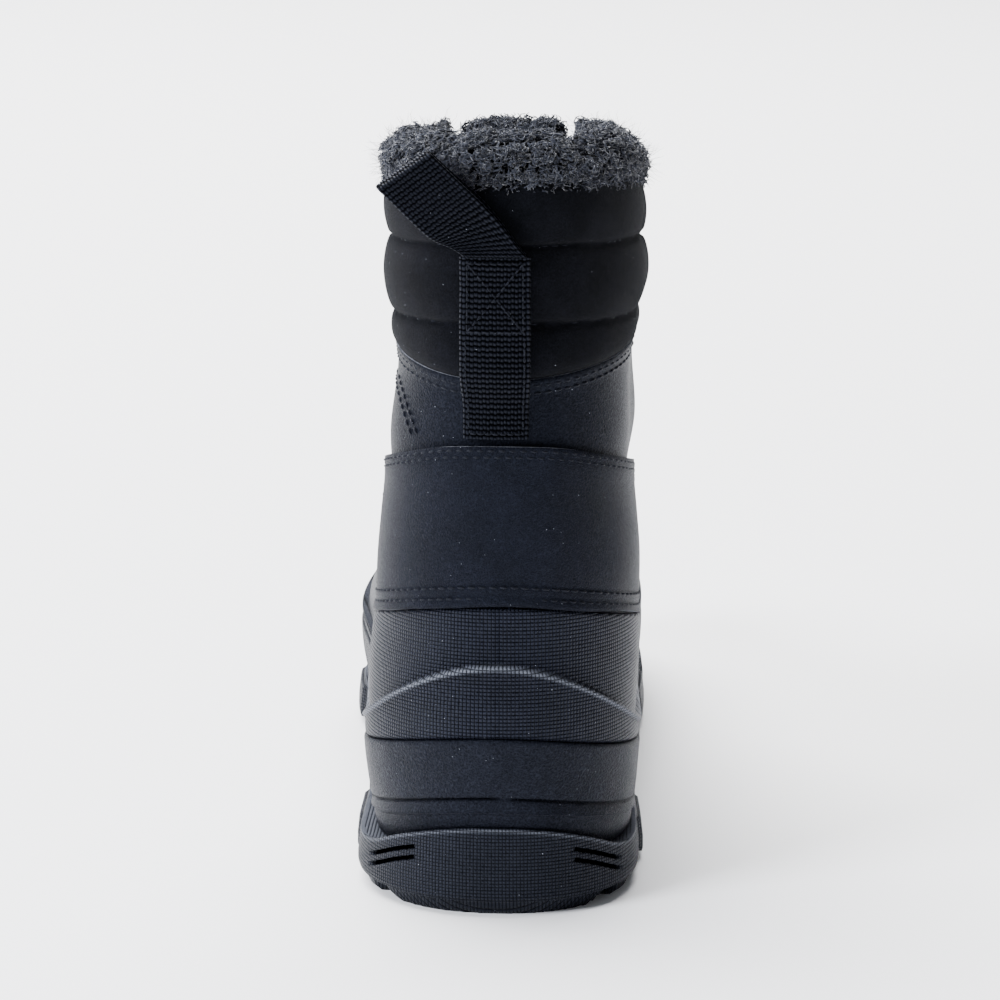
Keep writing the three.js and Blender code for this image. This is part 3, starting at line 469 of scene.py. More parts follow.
# Dust lies in cells this far apart, in millimetres, and this share of them is clean
DUST_SPACING = 2.6
CLEAN_SHARE = 0.62
# Pale dust, paler moulded edges that are partly scuffed and partly a painted highlight, and lightless
# grooves
DUST_TONE, WORN_AND_LIT_TONE, DEEP_TONE = "7c8088", "6a6e77", "010102"
# The photograph's highlights are bluish and weak, as on a thin dull film
SHINE_TINT = "d5e0ff"
SURFACE_IOR = 1.3
ROUGHNESS_SPREAD = 0.07


def finish(name, relief, depth, dark, light, patch=9.0, roughness=0.6, dust=0.05,
           cavity=0.6, span=(0.2, 0.9), **sockets):
    """Material with a relief pattern of a depth in millimetres, and a colour that wanders between
    two close tones in patches of a size in millimetres, with a little dust. The bottom of the
    relief is darker and duller than its top, as hollows that light hardly reaches are."""
    made = bpy.data.materials.new(name)
    made.use_nodes = True
    tree = made.node_tree
    shader = tree.nodes["Principled BSDF"]
    place = add(tree, "TexCoord")
    height = relief(tree, place)
    bump = add(tree, "Bump", {"Height": height, "Strength": 1.0, "Distance": depth * MM})
    tree.links.new(bump.outputs["Normal"], shader.inputs["Normal"])
    tone = add(tree, "TexNoise", {
        "Vector": place.outputs["Object"], "Scale": 1 / (patch * MM), "Detail": 5.0, "Roughness": 0.65})
    ramp = add(tree, "ValToRGB", {"Fac": tone.outputs["Fac"]})
    ramp.color_ramp.elements[0].position = 0.34
    ramp.color_ramp.elements[0].color = linear(dark)
    ramp.color_ramp.elements[1].position = 0.68
    ramp.color_ramp.elements[1].color = linear(light)
    # Lint and dust: a speck at the middle of a few of the cells
    cells = add(tree, "TexVoronoi", {
        "Vector": place.outputs["Object"], "Scale": 1 / (DUST_SPACING * MM)})
    near = add(tree, "Math", {0: cells.outputs["Distance"], 1: dust}, operation="LESS_THAN")
    chance = add(tree, "SeparateColor", {"Color": cells.outputs["Color"]})
    few = add(tree, "Math", {0: chance.outputs["Red"], 1: CLEAN_SHARE}, operation="GREATER_THAN")
    speck = add(tree, "Math", {0: near.outputs[0], 1: few.outputs[0]}, operation="MULTIPLY")
    dusted = add(tree, "Mix", {
        "Factor": speck.outputs[0], 6: ramp.outputs["Color"], 7: linear(DUST_TONE)}, data_type="RGBA")
    # Edges of the mouldings are painted paler: partly scuffs, partly a painted highlight where they
    # face the light
    worn_and_lit = add(tree, "Attribute", attribute_name="wear_and_highlight")
    rubbed_and_lit = add(tree, "Mix", {
        "Factor": worn_and_lit.outputs["Fac"], 6: dusted.outputs[2], 7: linear(WORN_AND_LIT_TONE)}, data_type="RGBA")
    # Deep grooves hold no light
    deep = add(tree, "Attribute", attribute_name="deep")
    sunk = add(tree, "Mix", {
        "Factor": deep.outputs["Fac"], 6: rubbed_and_lit.outputs[2], 7: linear(DEEP_TONE)}, data_type="RGBA")
    open_share = add(tree, "Math", {0: 1.0, 1: deep.outputs["Fac"]}, operation="SUBTRACT")
    low_tone = add(tree, "MapRange", {"Value": height, "From Min": span[0], "From Max": span[1],
                                      "To Min": 1 - cavity, "To Max": 1 + cavity / 2})
    shaded = add(tree, "VectorMath", {
        0: sunk.outputs[2], "Scale": low_tone.outputs["Result"]}, operation="SCALE")
    tree.links.new(shaded.outputs[0], shader.inputs["Base Color"])
    shine = sockets.pop("Specular_IOR_Level", 0.3)
    glint = add(tree, "MapRange", {"Value": height, "From Min": span[0], "From Max": span[1],
                                   "To Min": shine * (1 - cavity), "To Max": shine * (1 + cavity)})
    seen = add(tree, "Math", {
        0: glint.outputs["Result"], 1: open_share.outputs[0]}, operation="MULTIPLY")
    tree.links.new(seen.outputs[0], shader.inputs["Specular IOR Level"])
    shader.inputs["Specular Tint"].default_value = linear(SHINE_TINT)
    shader.inputs["IOR"].default_value = SURFACE_IOR
    wear_and_highlight = add(tree, "MapRange", {
        "Value": tone.outputs["Fac"], "To Min": roughness - ROUGHNESS_SPREAD,
        "To Max": roughness + ROUGHNESS_SPREAD})
    tree.links.new(wear_and_highlight.outputs["Result"], shader.inputs["Roughness"])
    for socket, value in sockets.items():
        shader.inputs[socket.replace("_", " ")].default_value = value
    return made


def grid_relief(pitch):
    """Small square studs between crossing grooves: the lower of two half sines, one for each
    direction of the UV, raised to a power that widens the tops."""
    def relief(tree, place):
        turn = np.pi / (pitch * MM)
        scaled = add(tree, "VectorMath", {
            0: place.outputs["UV"], 1: (turn, turn, 0)}, operation="MULTIPLY")
        wave = add(tree, "VectorMath", {0: scaled.outputs[0]}, operation="SINE")
        half = add(tree, "VectorMath", {0: wave.outputs[0]}, operation="ABSOLUTE")
        split = add(tree, "SeparateXYZ", {0: half.outputs[0]})
        lower = add(tree, "Math", {0: split.outputs[0], 1: split.outputs[1]}, operation="MINIMUM")
        stud = add(tree, "Math", {0: lower.outputs[0], 1: 0.5}, operation="POWER")
        dust = add(tree, "TexNoise", {"Vector": place.outputs["Object"], "Scale": 1 / (1.1 * MM)})
        rough = add(tree, "Math", {0: dust.outputs["Fac"], 1: 0.45}, operation="MULTIPLY")
        return add(tree, "Math", {0: stud.outputs[0], 1: rough.outputs[0]}).outputs[0]
    return relief


def grain_relief(size, fine=0.5):
    """Leather grain: cells with soft valleys between them, and finer noise on top."""
    def relief(tree, place):
        bend = add(tree, "TexNoise", {
            "Vector": place.outputs["Object"], "Scale": 1 / (size * 2.5 * MM)})
        moved = add(tree, "Mix", {
            "Factor": 0.0012, 6: place.outputs["Object"], 7: bend.outputs["Color"]}, data_type="RGBA")
        cells = add(tree, "TexVoronoi", {"Vector": moved.outputs[2], "Scale": 1 / (size * MM)},
                    feature="SMOOTH_F1")
        noise = add(tree, "TexNoise", {
            "Vector": place.outputs["Object"], "Scale": 1 / (size * 0.45 * MM), "Detail": 4.0})
        soft = add(tree, "Math", {0: noise.outputs["Fac"], 1: fine}, operation="MULTIPLY")
        return add(tree, "Math", {0: cells.outputs["Distance"], 1: soft.outputs[0]}).outputs[0]
    return relief


def fibre_relief(size):
    """Short brushed fibres: noise with many octaves, which has no cell or line to catch the eye."""
    def relief(tree, place):
        noise = add(tree, "TexNoise", {
            "Vector": place.outputs["Object"], "Scale": 1 / (size * MM),
            "Detail": 8.0, "Roughness": 0.75})
        return noise.outputs["Fac"]
    return relief


def weave_relief(across, along):
    """Knots of a rib weave on a UV that runs across and along the webbing: half sines both ways,
    each rib shifted a little."""
    def relief(tree, place):
        stray = add(tree, "TexNoise", {"Vector": place.outputs["Object"], "Scale": 1 / (2.2 * MM)})
        moved = add(tree, "VectorMath", {
            0: stray.outputs["Color"], 1: (STRAY * MM,) * 3, 2: place.outputs["UV"]},
            operation="MULTIPLY_ADD")
        scaled = add(tree, "VectorMath", {
            0: moved.outputs[0], 1: (1 / (across * MM), 1 / (along * MM), 0)}, operation="MULTIPLY")
        split = add(tree, "SeparateXYZ", {0: scaled.outputs[0]})
        rib = add(tree, "Math", {0: split.outputs[0]}, operation="FLOOR")
        odd = add(tree, "Math", {0: rib.outputs[0], 1: 2.0}, operation="FLOORED_MODULO")
        shifted = add(tree, "Math", {
            0: odd.outputs[0], 1: KNOT_SHIFT, 2: split.outputs[1]}, operation="MULTIPLY_ADD")
        both = add(tree, "CombineXYZ", {0: split.outputs[0], 1: shifted.outputs[0]})
        turned = add(tree, "VectorMath", {0: both.outputs[0], "Scale": np.pi}, operation="SCALE")
        wave = add(tree, "VectorMath", {0: turned.outputs[0]}, operation="SINE")
        half = add(tree, "VectorMath", {0: wave.outputs[0]}, operation="ABSOLUTE")
        parts = add(tree, "SeparateXYZ", {0: half.outputs[0]})
        rows = add(tree, "Math", {0: parts.outputs[1], 1: 1.6}, operation="POWER")
        knot = add(tree, "Math", {0: parts.outputs[0], 1: rows.outputs[0]}, operation="MULTIPLY")
        soft = add(tree, "Math", {0: knot.outputs[0], 1: 0.6}, operation="POWER")
        strand = add(tree, "TexNoise", {"Vector": place.outputs["Object"], "Scale": 1 / (0.35 * MM)})
        rough = add(tree, "Math", {0: strand.outputs["Fac"], 1: 0.3}, operation="MULTIPLY")
        return add(tree, "Math", {0: soft.outputs[0], 1: rough.outputs[0]}).outputs[0]
    return relief


# %% The finishes
# Vulcanised rubber, moulded in a textured tool: studs of 1.2 mm, a soft shine on their tops
shell_rubber = finish("shell_rubber", grid_relief(1.22), 0.55, "0b0d13", "12141c", 14,
                      0.42, cavity=0.85, span=(0.4, 1.1), Specular_IOR_Level=0.22)
sole_rubber = finish("sole_rubber", grid_relief(1.12), 0.50, "0b0d12", "13151b", 14,
                     0.46, cavity=0.8, span=(0.4, 1.1), Specular_IOR_Level=0.24)
# The band is moulded with a fine leather grain and has no studs
band_rubber = finish("band_rubber", grain_relief(0.55, 0.8), 0.36, "0b0d13", "12141b", 12,
                     0.46, cavity=0.8, span=(0.3, 1.2), Specular_IOR_Level=0.22)
# Polyurethane-coated leather: a thin film, fine pores, a broad dull sheen
coated_leather = finish("coated_leather", grain_relief(0.6, 0.8), 0.20, "07090f", "0c0e15", 16,
                        0.48, cavity=0.8, span=(0.3, 1.2), Specular_IOR_Level=0.15)
counter_leather = finish("counter_leather", grain_relief(0.42, 0.9), 0.30, "080a10", "0f1119", 18,
                         0.48, cavity=0.9, span=(0.3, 1.2), Specular_IOR_Level=0.15)
# Nubuck is leather with its surface sanded to a nap: no shine, and tones where it was stroked
nubuck = finish("brushed_nubuck", fibre_relief(0.45), 0.30, "06070a", "0d0e13", 11,
                0.90, cavity=0.8, span=(0.35, 0.65), Specular_IOR_Level=0.06,
                Sheen_Weight=0.04, Sheen_Roughness=0.5)
# Where a panel is cut, its pale core shows as a thin line, paler still as a painted highlight
cut_edge_and_highlight = finish("cut_edge_and_highlight", fibre_relief(0.5), 0.05, "4c4e54", "7c7f86", 4,
                  0.8, dust=0.0, Specular_IOR_Level=0.1)
# The facings of the throat have their edges inked
facing_edge = finish("facing_edge", fibre_relief(0.5), 0.05, "20222a", "33363f", 4,
                     0.8, dust=0.0, Specular_IOR_Level=0.1)
# Polyester webbing and thread: stiff bright fibres, each with a small highlight
webbing = finish("polyester_webbing", weave_relief(KNOT_ACROSS, KNOT_ALONG), 0.30,
                 "040508", "0a0b10", 5, 0.50, cavity=0.95, span=(0.3, 1.1), Specular_IOR_Level=0.24)
thread = finish("polyester_thread", fibre_relief(0.25), 0.04, "0c0d10", "1a1b20", 3,
                0.50, Specular_IOR_Level=0.35)
# Acrylic pile: each curl scatters light, so the whole looks paler than its colour
curled_pile = finish("curled_pile", fibre_relief(0.4), 0.08, "1d1f26", "42454f", 6,
                     0.95, Specular_IOR_Level=0.12, Sheen_Weight=0.35, Sheen_Roughness=0.4)
# Near-black, darker than the curls: painted shade deep in the pile and inside the boot
pile_ground = finish("pile_ground", fibre_relief(1.4), 0.9, "040405", "0a0a0d", 5,
                     1.0, Specular_IOR_Level=0.05, Sheen_Weight=0.03)
felt = finish("felted_footbed", fibre_relief(0.7), 0.25, "232429", "34353b", 7,
              0.95, Specular_IOR_Level=0.15, Sheen_Weight=0.3)
lace_braid = finish("braided_lace", fibre_relief(0.35), 0.08, "090a0d", "14151a", 4,
                    0.75, Specular_IOR_Level=0.15, Sheen_Weight=0.05)
# Enamelled steel rings, baked dark
enamel = finish("dark_enamel", fibre_relief(0.8), 0.01, "24262a", "303236", 5,
                0.35, Specular_IOR_Level=0.5, Metallic=0.6)
print("finishes:", len(bpy.data.materials))

# %% [markdown]
# ## Camera, light and floor
# The photograph looks down on the heel from about a metre away. The lens and the height were worked
# out from the boot's own widths. The light is a soft key from behind on the outer side, and a wide
# pale ceiling in front, in a dim room. The key doesn't reach the inner side, which is the darker one in
# the photograph.

# %% Camera
FOCAL_PIXELS = 3414.0
FRAME_PIXELS = 1000.0
SENSOR = 36.0
CAMERA_PLACE = np.array([51.3, -HEEL_TO_ORIGIN - 1000.0, 390.0])
CAMERA_PITCH = np.radians(14.3)
CAMERA_YAW = np.radians(2.85)

camera_data = bpy.data.cameras.new("Camera")
camera_data.sensor_width = SENSOR
camera_data.lens = FOCAL_PIXELS / FRAME_PIXELS * SENSOR
camera_data.clip_start, camera_data.clip_end = 0.05, 20
camera = bpy.data.objects.new("Camera", camera_data)
camera.location = CAMERA_PLACE * MM
camera.rotation_euler = (np.pi / 2 - CAMERA_PITCH, 0, CAMERA_YAW)
bpy.context.scene.collection.objects.link(camera)
bpy.context.scene.camera = camera


# %% Floor, lamps and room
def lamp(name, place, target, size, power, colour):
    """Square lamp at a place in metres, turned to a target."""
    data = bpy.data.lights.new(name, "AREA")
    data.size, data.energy, data.color = size, power, linear(colour)[:3]
    made = bpy.data.objects.new(name, data)
    made.location = place
    aim = np.array(target) - np.array(place)
    flat = np.hypot(aim[0], aim[1])
    made.rotation_euler = (np.arctan2(flat, -aim[2]), 0, np.arctan2(aim[1], aim[0]) - np.pi / 2)
    bpy.context.scene.collection.objects.link(made)


# Name, place, target and side in metres, power in watts and colour
lamp("Key", (-1.7, -1.1, 1.3), (0, 0, 0.12), 0.7, 100, "f4f7ff")
lamp("Ceiling", (-0.9, 1.7, 3.0), (-0.1, 1.0, 0), 4.0, 700, "fdfdff")

floor_size = 6.0
floor_mesh = bpy.data.meshes.new("Floor")
floor_mesh.from_pydata(
    [(x * floor_size, y * floor_size, 0) for x, y in ((-1, -1), (1, -1), (1, 1), (-1, 1))],
    [], [(0, 1, 2, 3)])
floor = bpy.data.objects.new("Floor", floor_mesh)
bpy.context.scene.collection.objects.link(floor)
paper = bpy.data.materials.new("white_paper")
paper.use_nodes = True
paper_shader = paper.node_tree.nodes["Principled BSDF"]
paper_shader.inputs["Base Color"].default_value = linear("fafafa")
paper_shader.inputs["Roughness"].default_value = 0.9
floor_mesh.materials.append(paper)

surroundings = bpy.data.worlds.new("Room")
surroundings.use_nodes = True
background = surroundings.node_tree.nodes["Background"]
background.inputs["Color"].default_value = linear("f4f7ff")
background.inputs["Strength"].default_value = 0.25
bpy.context.scene.world = surroundings

# %% [markdown]
# ## Outsole
# The real outsole is one moulding: zigzag bars of tread, a wall with the same fine studs as the shell,
# short grooves at the heel's corners, lugs along the sides, and a ledge that the band stands on. It is
# made as three grids that share their edge points, so that they close into one solid. The tread is a
# height field, because bars and gaps then need no cutting.

# %% Columns all round and surfaces between them
def round_columns(count, height):
    """Columns all round, evenly along the skin: from the front over the outer side, the rear in the
    middle of the list, and back over the inner side."""
    half = even_columns(count // 2 + 1, height, 0.0, 1.0)
    return np.concatenate([-half[:0:-1], half[:-1]])


def lid(ring, across):
    """Surface inside a ring of points: straight rungs from the outer side to the inner side."""
    half = len(ring) // 2
    left = ring[:half + 1]
    right = ring[-np.arange(half + 1) % len(ring)]
    return mix(left[:, None], right[:, None], np.linspace(0, 1, across)[None, :, None])


def closed_body(name, grids):
    """Mesh of grids that share their edges, with its faces turned outward."""
    mesh = joined_grids(name, grids)
    work = bmesh.new()
    work.from_mesh(mesh)
    bmesh.ops.recalc_face_normals(work, faces=work.faces)
    work.to_mesh(mesh)
    work.free()
    return mesh


def bell(value, centre, reach):
    """A smooth hump of height 1 about a centre, fallen to a third at its reach."""
    return np.exp(-((value - centre) / reach) ** 2)


def plateau(value, low, high, edge):
    """1 between two values and 0 outside, with an S curve of a given length at each end."""
    return smooth((value - low) / edge + 0.5) * smooth((high - value) / edge + 0.5)


def sole_ring(columns, inset):
    """Points of the outsole's outline, moved inside it by an inset along the outline's normal."""
    along = plan(SOLE_SECTION, wrapped(columns + 0.004)) - plan(SOLE_SECTION, wrapped(columns - 0.004))
    normal = np.stack([along[..., 1], -along[..., 0]], -1)
    normal /= np.linalg.norm(normal, axis=-1, keepdims=True)
    return plan(SOLE_SECTION, columns) - normal * np.asarray(inset)[..., None]


# %% Outsole
SOLE_COUNT = 500
TREAD_ACROSS = 56
WALL_FOOT = 0.4
TREAD_MARGIN = 3.2
GROOVE_DROPS = (3.8, 7.2)
GROOVE_HEIGHT = 1.5
GROOVE_DEPTH = 1.5
GROOVE_COLUMNS = (0.11, 0.20)
LUG_START, LUG_STEP, LUG_LENGTH, LUG_RISE, LUG_TOP = 0.3225, 0.085, 0.045, 1.6, 14.5
SIDE_LUGS, LUG_FADE = 6, 0.006
BAR_FADE = 1.6
# Middle and width of each bar of the tread, and how the bars run across in a zigzag
HEEL_BARS = [(5 + 17 * k, 11) for k in range(-2, 3)]
FORE_BARS = [(149.5 + 20 * k, 12) for k in range(-4, 6)]
ZIGZAG_TURNS, ZIGZAG_REACH = (0, 24.7, 74.2), (-5, -5, 5)

sole_columns = round_columns(SOLE_COUNT, 20.0)
lug_starts = LUG_START + LUG_STEP * np.arange(SIDE_LUGS)
side_lugs = sum(
    plateau(np.abs(sole_columns), start, start + LUG_LENGTH, LUG_FADE) for start in lug_starts)
outline_y = sole_ring(sole_columns, 0.0)[:, 1]
ledge_line = floor_height("ledge", outline_y)

# Drops under the ledge, in pairs at each edge of a groove, then even rows down to the wall's foot
drops = [0.0, 0.15, 0.5, 1.2, 2.0, 2.8]
for drop in GROOVE_DROPS:
    drops += [drop - 0.08, drop + 0.1, drop + GROOVE_HEIGHT / 2, drop + GROOVE_HEIGHT - 0.1,
              drop + GROOVE_HEIGHT + 0.08]
drops = np.array(sorted(drops + [6.4, 9.8]))
room = np.minimum((ledge_line - LUG_DEPTH - 0.4) / drops[-1], 1)
upper_rows = ledge_line - drops[::-1, None] * room
foot_line = mix(LUG_DEPTH, LUG_DEPTH / 2, side_lugs)
low_rows = mix(foot_line, upper_rows[0], np.linspace(0, 1, 12)[:-1, None])
wall_z = np.vstack([low_rows, upper_rows])
share = wall_z / ledge_line
inset = np.interp(share, [0.11, 0.5, 1.0], [0.0, 0.1, 1.0]) + WALL_FOOT * bell(wall_z, foot_line, 0.8)
inset -= LUG_RISE * side_lugs * smooth((LUG_TOP - wall_z) / 1.2 + 0.5)
corner = plateau(np.abs(sole_columns), *GROOVE_COLUMNS, 0.012)
for drop in GROOVE_DROPS:
    depth = plateau(ledge_line - wall_z, drop, drop + GROOVE_HEIGHT, 0.15)
    inset += GROOVE_DEPTH * depth * corner
wall_plan = sole_ring(np.broadcast_to(sole_columns, wall_z.shape), inset)
wall_grid = np.concatenate([wall_plan, wall_z[..., None]], -1)

# The ledge's flash: a thin wavy lip where the two halves of the mould met
flash = 0.26 + 0.2 * ripples(sole_columns, 0.0, 22, 5)
flash_ring = np.concatenate(
    [sole_ring(sole_columns, np.full(SOLE_COUNT, 1.25)), (ledge_line + flash)[:, None]], -1)
inner_ring = np.concatenate(
    [sole_ring(sole_columns, np.full(SOLE_COUNT, 2.4)), ledge_line[:, None]], -1)
ledge_lid = lid(inner_ring, 12)
ledge_lid[:, 1:-1, 2] = floor_height("ledge", ledge_lid[:, 1:-1, 1])
wall_grid = np.concatenate([wall_grid, flash_ring[None], inner_ring[None]])

tread = lid(wall_grid[0], TREAD_ACROSS)
flat = tread[..., :2].reshape(-1, 2)
edge = wall_grid[0, :, :2]
to_edge = np.concatenate([
    np.sqrt(((block[:, None] - edge[None]) ** 2).sum(-1).min(1)) for block in np.array_split(flat, 12)])
to_edge = to_edge.reshape(tread.shape[:2])
zigzag = np.interp(np.abs(tread[..., 0]), ZIGZAG_TURNS, ZIGZAG_REACH)
bars = np.zeros(tread.shape[:2])
for middle, width in HEEL_BARS + FORE_BARS:
    bar = plateau(tread[..., 1] - zigzag, middle - width / 2, middle + width / 2, BAR_FADE)
    bars = np.maximum(bars, bar)
beside = np.clip((TREAD_MARGIN - to_edge) / (TREAD_MARGIN - WALL_FOOT), 0, 1)
field = np.maximum(LUG_DEPTH * (1 - bars), (LUG_DEPTH + 1) * beside)
tread[:, 1:-1, 2] = np.minimum(field, tread[:, :1, 2])[:, 1:-1]
outsole = piece("outsole_moulding", closed_body("outsole_moulding", [
    (wall_grid, True), (tread, False), (ledge_lid, False)]), sole_rubber, "outsole_rubber", "outsole")
# The ledge's lip is painted paler: partly scuffs, partly a painted highlight on its upward face
mark(outsole, "wear_and_highlight", lambda x, y, z: 0.35 * bell(z, floor_height("ledge", y), 0.45))


def in_groove(x, y, z):
    """1 inside the heel's corner grooves: between their edges and behind the wall."""
    rear = y < -8
    inside = np.zeros(len(x))
    flat_ring = sole_ring(sole_columns, np.full(SOLE_COUNT, 0.7))
    for part in np.array_split(np.flatnonzero(rear), 8):
        gaps = ((np.stack([x[part], y[part]], -1)[:, None] - flat_ring[None]) ** 2).sum(-1)
        nearest = gaps.argmin(1)
        drop = ledge_line[nearest] - z[part]
        across = corner[nearest] > 0.5
        for groove in GROOVE_DROPS:
            inside[part] += (drop > groove + 0.02) * (drop < groove + GROOVE_HEIGHT - 0.02) * across
    return inside


mark(outsole, "deep", in_groove)

# %% [markdown]
# ## Band and shell
# Above the ledge runs a band moulded with a leather grain, with a dark groove round it. Over the band
# sits the rubber shell: its lower part is prouder and ends in an arched ridge that turns up at the
# heel. Both follow the skin, so a profile of distances from the skin, read at each height, is enough.

# %% Band
BAND_COUNT = 520
band_columns = round_columns(BAND_COUNT, 40.0)
band_low = floor_height("ledge", skin(band_columns, line("flange", band_columns))[:, 1]) + 2 * GAP
flange, groove_line, band_top = (line(name, band_columns) for name in ("flange", "groove", "band_top"))
ripple = 0.35 * ripples(band_columns, 0.0, 30, 11)
# The groove is broken where the halves of the mould met, and in a few worn places
breaks = bell(band_columns, 0.012, 0.012) + smooth(2.2 * ripples(band_columns, 0.0, 14, 13) - 0.4)
groove_floor = mix(3.3, 4.9, np.clip(breaks, 0, 1))
stops = [
    (band_low, 4.9), (flange - 4.0, 5.2), (flange - 0.9, 4.9), (flange - 0.2 + ripple, 5.1),
    (flange + 0.35 + ripple, 5.75), (flange + 0.9, 5.2), (groove_line - 0.60, 5.1),
    (groove_line - 0.38, groove_floor), (groove_line, groove_floor), (groove_line + 0.38, groove_floor),
    (groove_line + 0.60, 5.05), (groove_line + 1.4, 5.15),
]
for share in np.linspace(0.1, 1, 14):
    height = mix(groove_line + 1.4, band_top - 1.2, share)
    # Small wrinkles near the band's top edge, where the grained skin is drawn round the mould
    wrinkle = 0.22 * share ** 2 * ripples(band_columns, share * 3.0, 34, 17)
    stops.append((height, BAND_THICKNESS + wrinkle))
stops += [
    (band_top - 0.75, 4.95), (band_top - 0.35, 4.6), (band_top - 0.15, 4.2), (band_top - 0.15, GAP),
]
rows = [skin(band_columns, height, out) for height, out in stops]
inner_heights = mix(line("seat", band_columns), band_top - 0.15, 0.5)
rows.append(skin(band_columns, inner_heights, GAP))
seat_ring = skin(band_columns, line("seat", band_columns), GAP)
seat_ring[:, 2] = floor_height("seat", seat_ring[:, 1])
rows.append(seat_ring)
band_grid = np.stack(rows)
band_grid[0, :, 2] = floor_height("ledge", band_grid[0, :, 1]) + 2 * GAP
lids = []
for ring, name, lift in ((band_grid[0], "ledge", 2 * GAP), (band_grid[-1], "seat", 0.0)):
    surface = lid(ring, 10)
    surface[:, 1:-1, 2] = floor_height(name, surface[:, 1:-1, 1]) + lift
    lids.append((surface, False))
piece("midsole_band", closed_body("midsole_band", [(band_grid, True), *lids]),
      band_rubber, "midsole_rubber", "midsole")

# %% Shell
SHELL_COUNT = 600
shell_columns = round_columns(SHELL_COUNT, 60.0)
low, ridge, high = (line(name, shell_columns) for name in ("band_top", "ridge", "shell_top"))
low, high = low + 0.15, high - 0.15
shell_z = np.vstack([
    mix(low, low + 0.9, np.linspace(0, 1, 4)[:-1, None]),
    mix(low + 0.9, ridge - 3.2, np.linspace(0, 1, 12)[:-1, None]),
    ridge + np.linspace(-3.2, 1.6, 19)[:-1, None],
    mix(ridge + 1.6, high - 0.9, np.linspace(0, 1, 14)[:-1, None]),
    mix(high - 0.9, high, np.linspace(0, 1, 4)[:, None]),
])
over = shell_z - ridge
level = GAP + SHELL_THICKNESS
reach = np.clip((ridge - low) / 18, 0.35, 1)
shell_out = level + RIDGE_STEP * smooth(0.5 - over / 1.0)
shell_out += 0.75 * bell(over, -1.2, 0.9) - 0.5 * reach * bell(over, -6.5 * reach, 4.5 * reach)
shell_out -= 0.7 * bell(shell_z, low, 0.5) + 0.7 * bell(shell_z, high, 0.45)
# The seam of the mould, a fine raised line up the rear from the ridge to the shell's top
from_middle = skin(shell_columns, 90.0)[:, 0]
rear_half = np.abs(shell_columns) < HEEL_END
shell_out += 0.30 * bell(from_middle, 0.6, 0.35) * rear_half * mix(0.7, 1.0, over > -0.5)
shell_out -= 0.45 * bell(from_middle, 1.2, 0.30) * rear_half * mix(0.5, 1.0, over > -0.5)
shell_out += 0.14 * ripples(shell_columns, shell_z / 14, 5, 23)
shell_rows = skin(np.broadcast_to(shell_columns, shell_z.shape), shell_z, shell_out)
inner_z = mix(high, low, np.linspace(0, 1, 5)[:, None])
inner_rows = skin(np.broadcast_to(shell_columns, inner_z.shape), inner_z, GAP)
shell_grid = np.concatenate([shell_rows, inner_rows, shell_rows[:1]])
shell = piece("shell_moulding", closed_body("shell_moulding", [(shell_grid, True)]),
              shell_rubber, "shell_rubber", "shell")


def near_line(name, below, reach):
    """Paler marking close to a named line of the heel, partly scuffs and partly a painted highlight:
    strongest at a distance below the line, read from the plan position round the heel."""
    def near(x, y, z):
        columns = np.linspace(-0.5, 0.5, 400)
        round_heel = skin(columns, 60.0)
        angle = np.unwrap(np.arctan2(round_heel[:, 0], 30 - round_heel[:, 1]))
        column = np.interp(np.arctan2(x, 30 - y), angle, columns)
        return bell(z, line(name, column) - below, reach) * (y < 60)
    return near


# The ridge's crest is painted paler: partly scuffs, partly a painted highlight on the lit crest
mark(shell, "wear_and_highlight", lambda x, y, z: 0.55 * near_line("ridge", 0.6, 0.75)(x, y, z))

# %% [markdown]
# ## Upper
# The upper is sewn from a coated leather panel up to the middle of the shaft and a quilted nubuck cuff
# above it. The panel's raw top edge lies over the cuff. Both are open in front, where the throat is:
# their columns are squeezed towards the throat's edge, so that the edge is clean at any fineness. The
# creases of the vamp are set across the place where toes bend, as soft troughs with a ridge beside
# each.

# %% Rows with an open throat
def open_rows(share, heights):
    """Columns and heights of rows that stop at the throat's edge. Share runs from -1 to 1 across a
    row, and heights is a function of the column that gives one height to each row."""
    edges = []
    for side in (-1, 1):
        column = np.full(len(heights(np.array(1.0))), float(side))
        for _ in range(4):
            z = heights(column)
            column = column_beside(throat_half_width(z), z, side)
        edges.append(column)
    columns = np.where(share < 0, share * -edges[0][:, None], share * edges[1][:, None])
    return columns, np.stack([heights(columns[:, k]) for k in range(columns.shape[1])], 1)


def line_plus(name, more):
    """Function of the column: the height of a named line with a constant added."""
    def height(column):
        return line(name, column) + more
    return height


# Trough of each crease: column, height and slope of its middle, then how deep and how long it is
CREASES = (
    (1.00, 84.0, 0.0, 1.5, 0.16), (-0.93, 91.0, 30.0, 1.3, 0.09), (0.94, 93.0, -26.0, 1.2, 0.08),
    (-0.80, 84.0, 42.0, 1.0, 0.09), (0.82, 86.0, -38.0, 0.9, 0.08), (1.00, 76.0, 0.0, 0.9, 0.14),
    (-0.55, 118.0, 60.0, 0.9, 0.10), (0.56, 116.0, -55.0, 0.8, 0.10), (-0.42, 128.0, 70.0, 0.7, 0.08),
)


def creased(columns, heights):
    """Rise of the vamp: for each crease a trough of a hump's shape with a lower ridge above it."""
    rise = np.zeros(columns.shape)
    for column, height, slope, depth, length in CREASES:
        along = wrapped(columns - column)
        middle = height + slope * along
        strength = bell(along, 0, length) * depth
        rise += strength * (0.55 * bell(heights, middle + 4.2, 2.6) - bell(heights, middle, 2.0))
    return rise


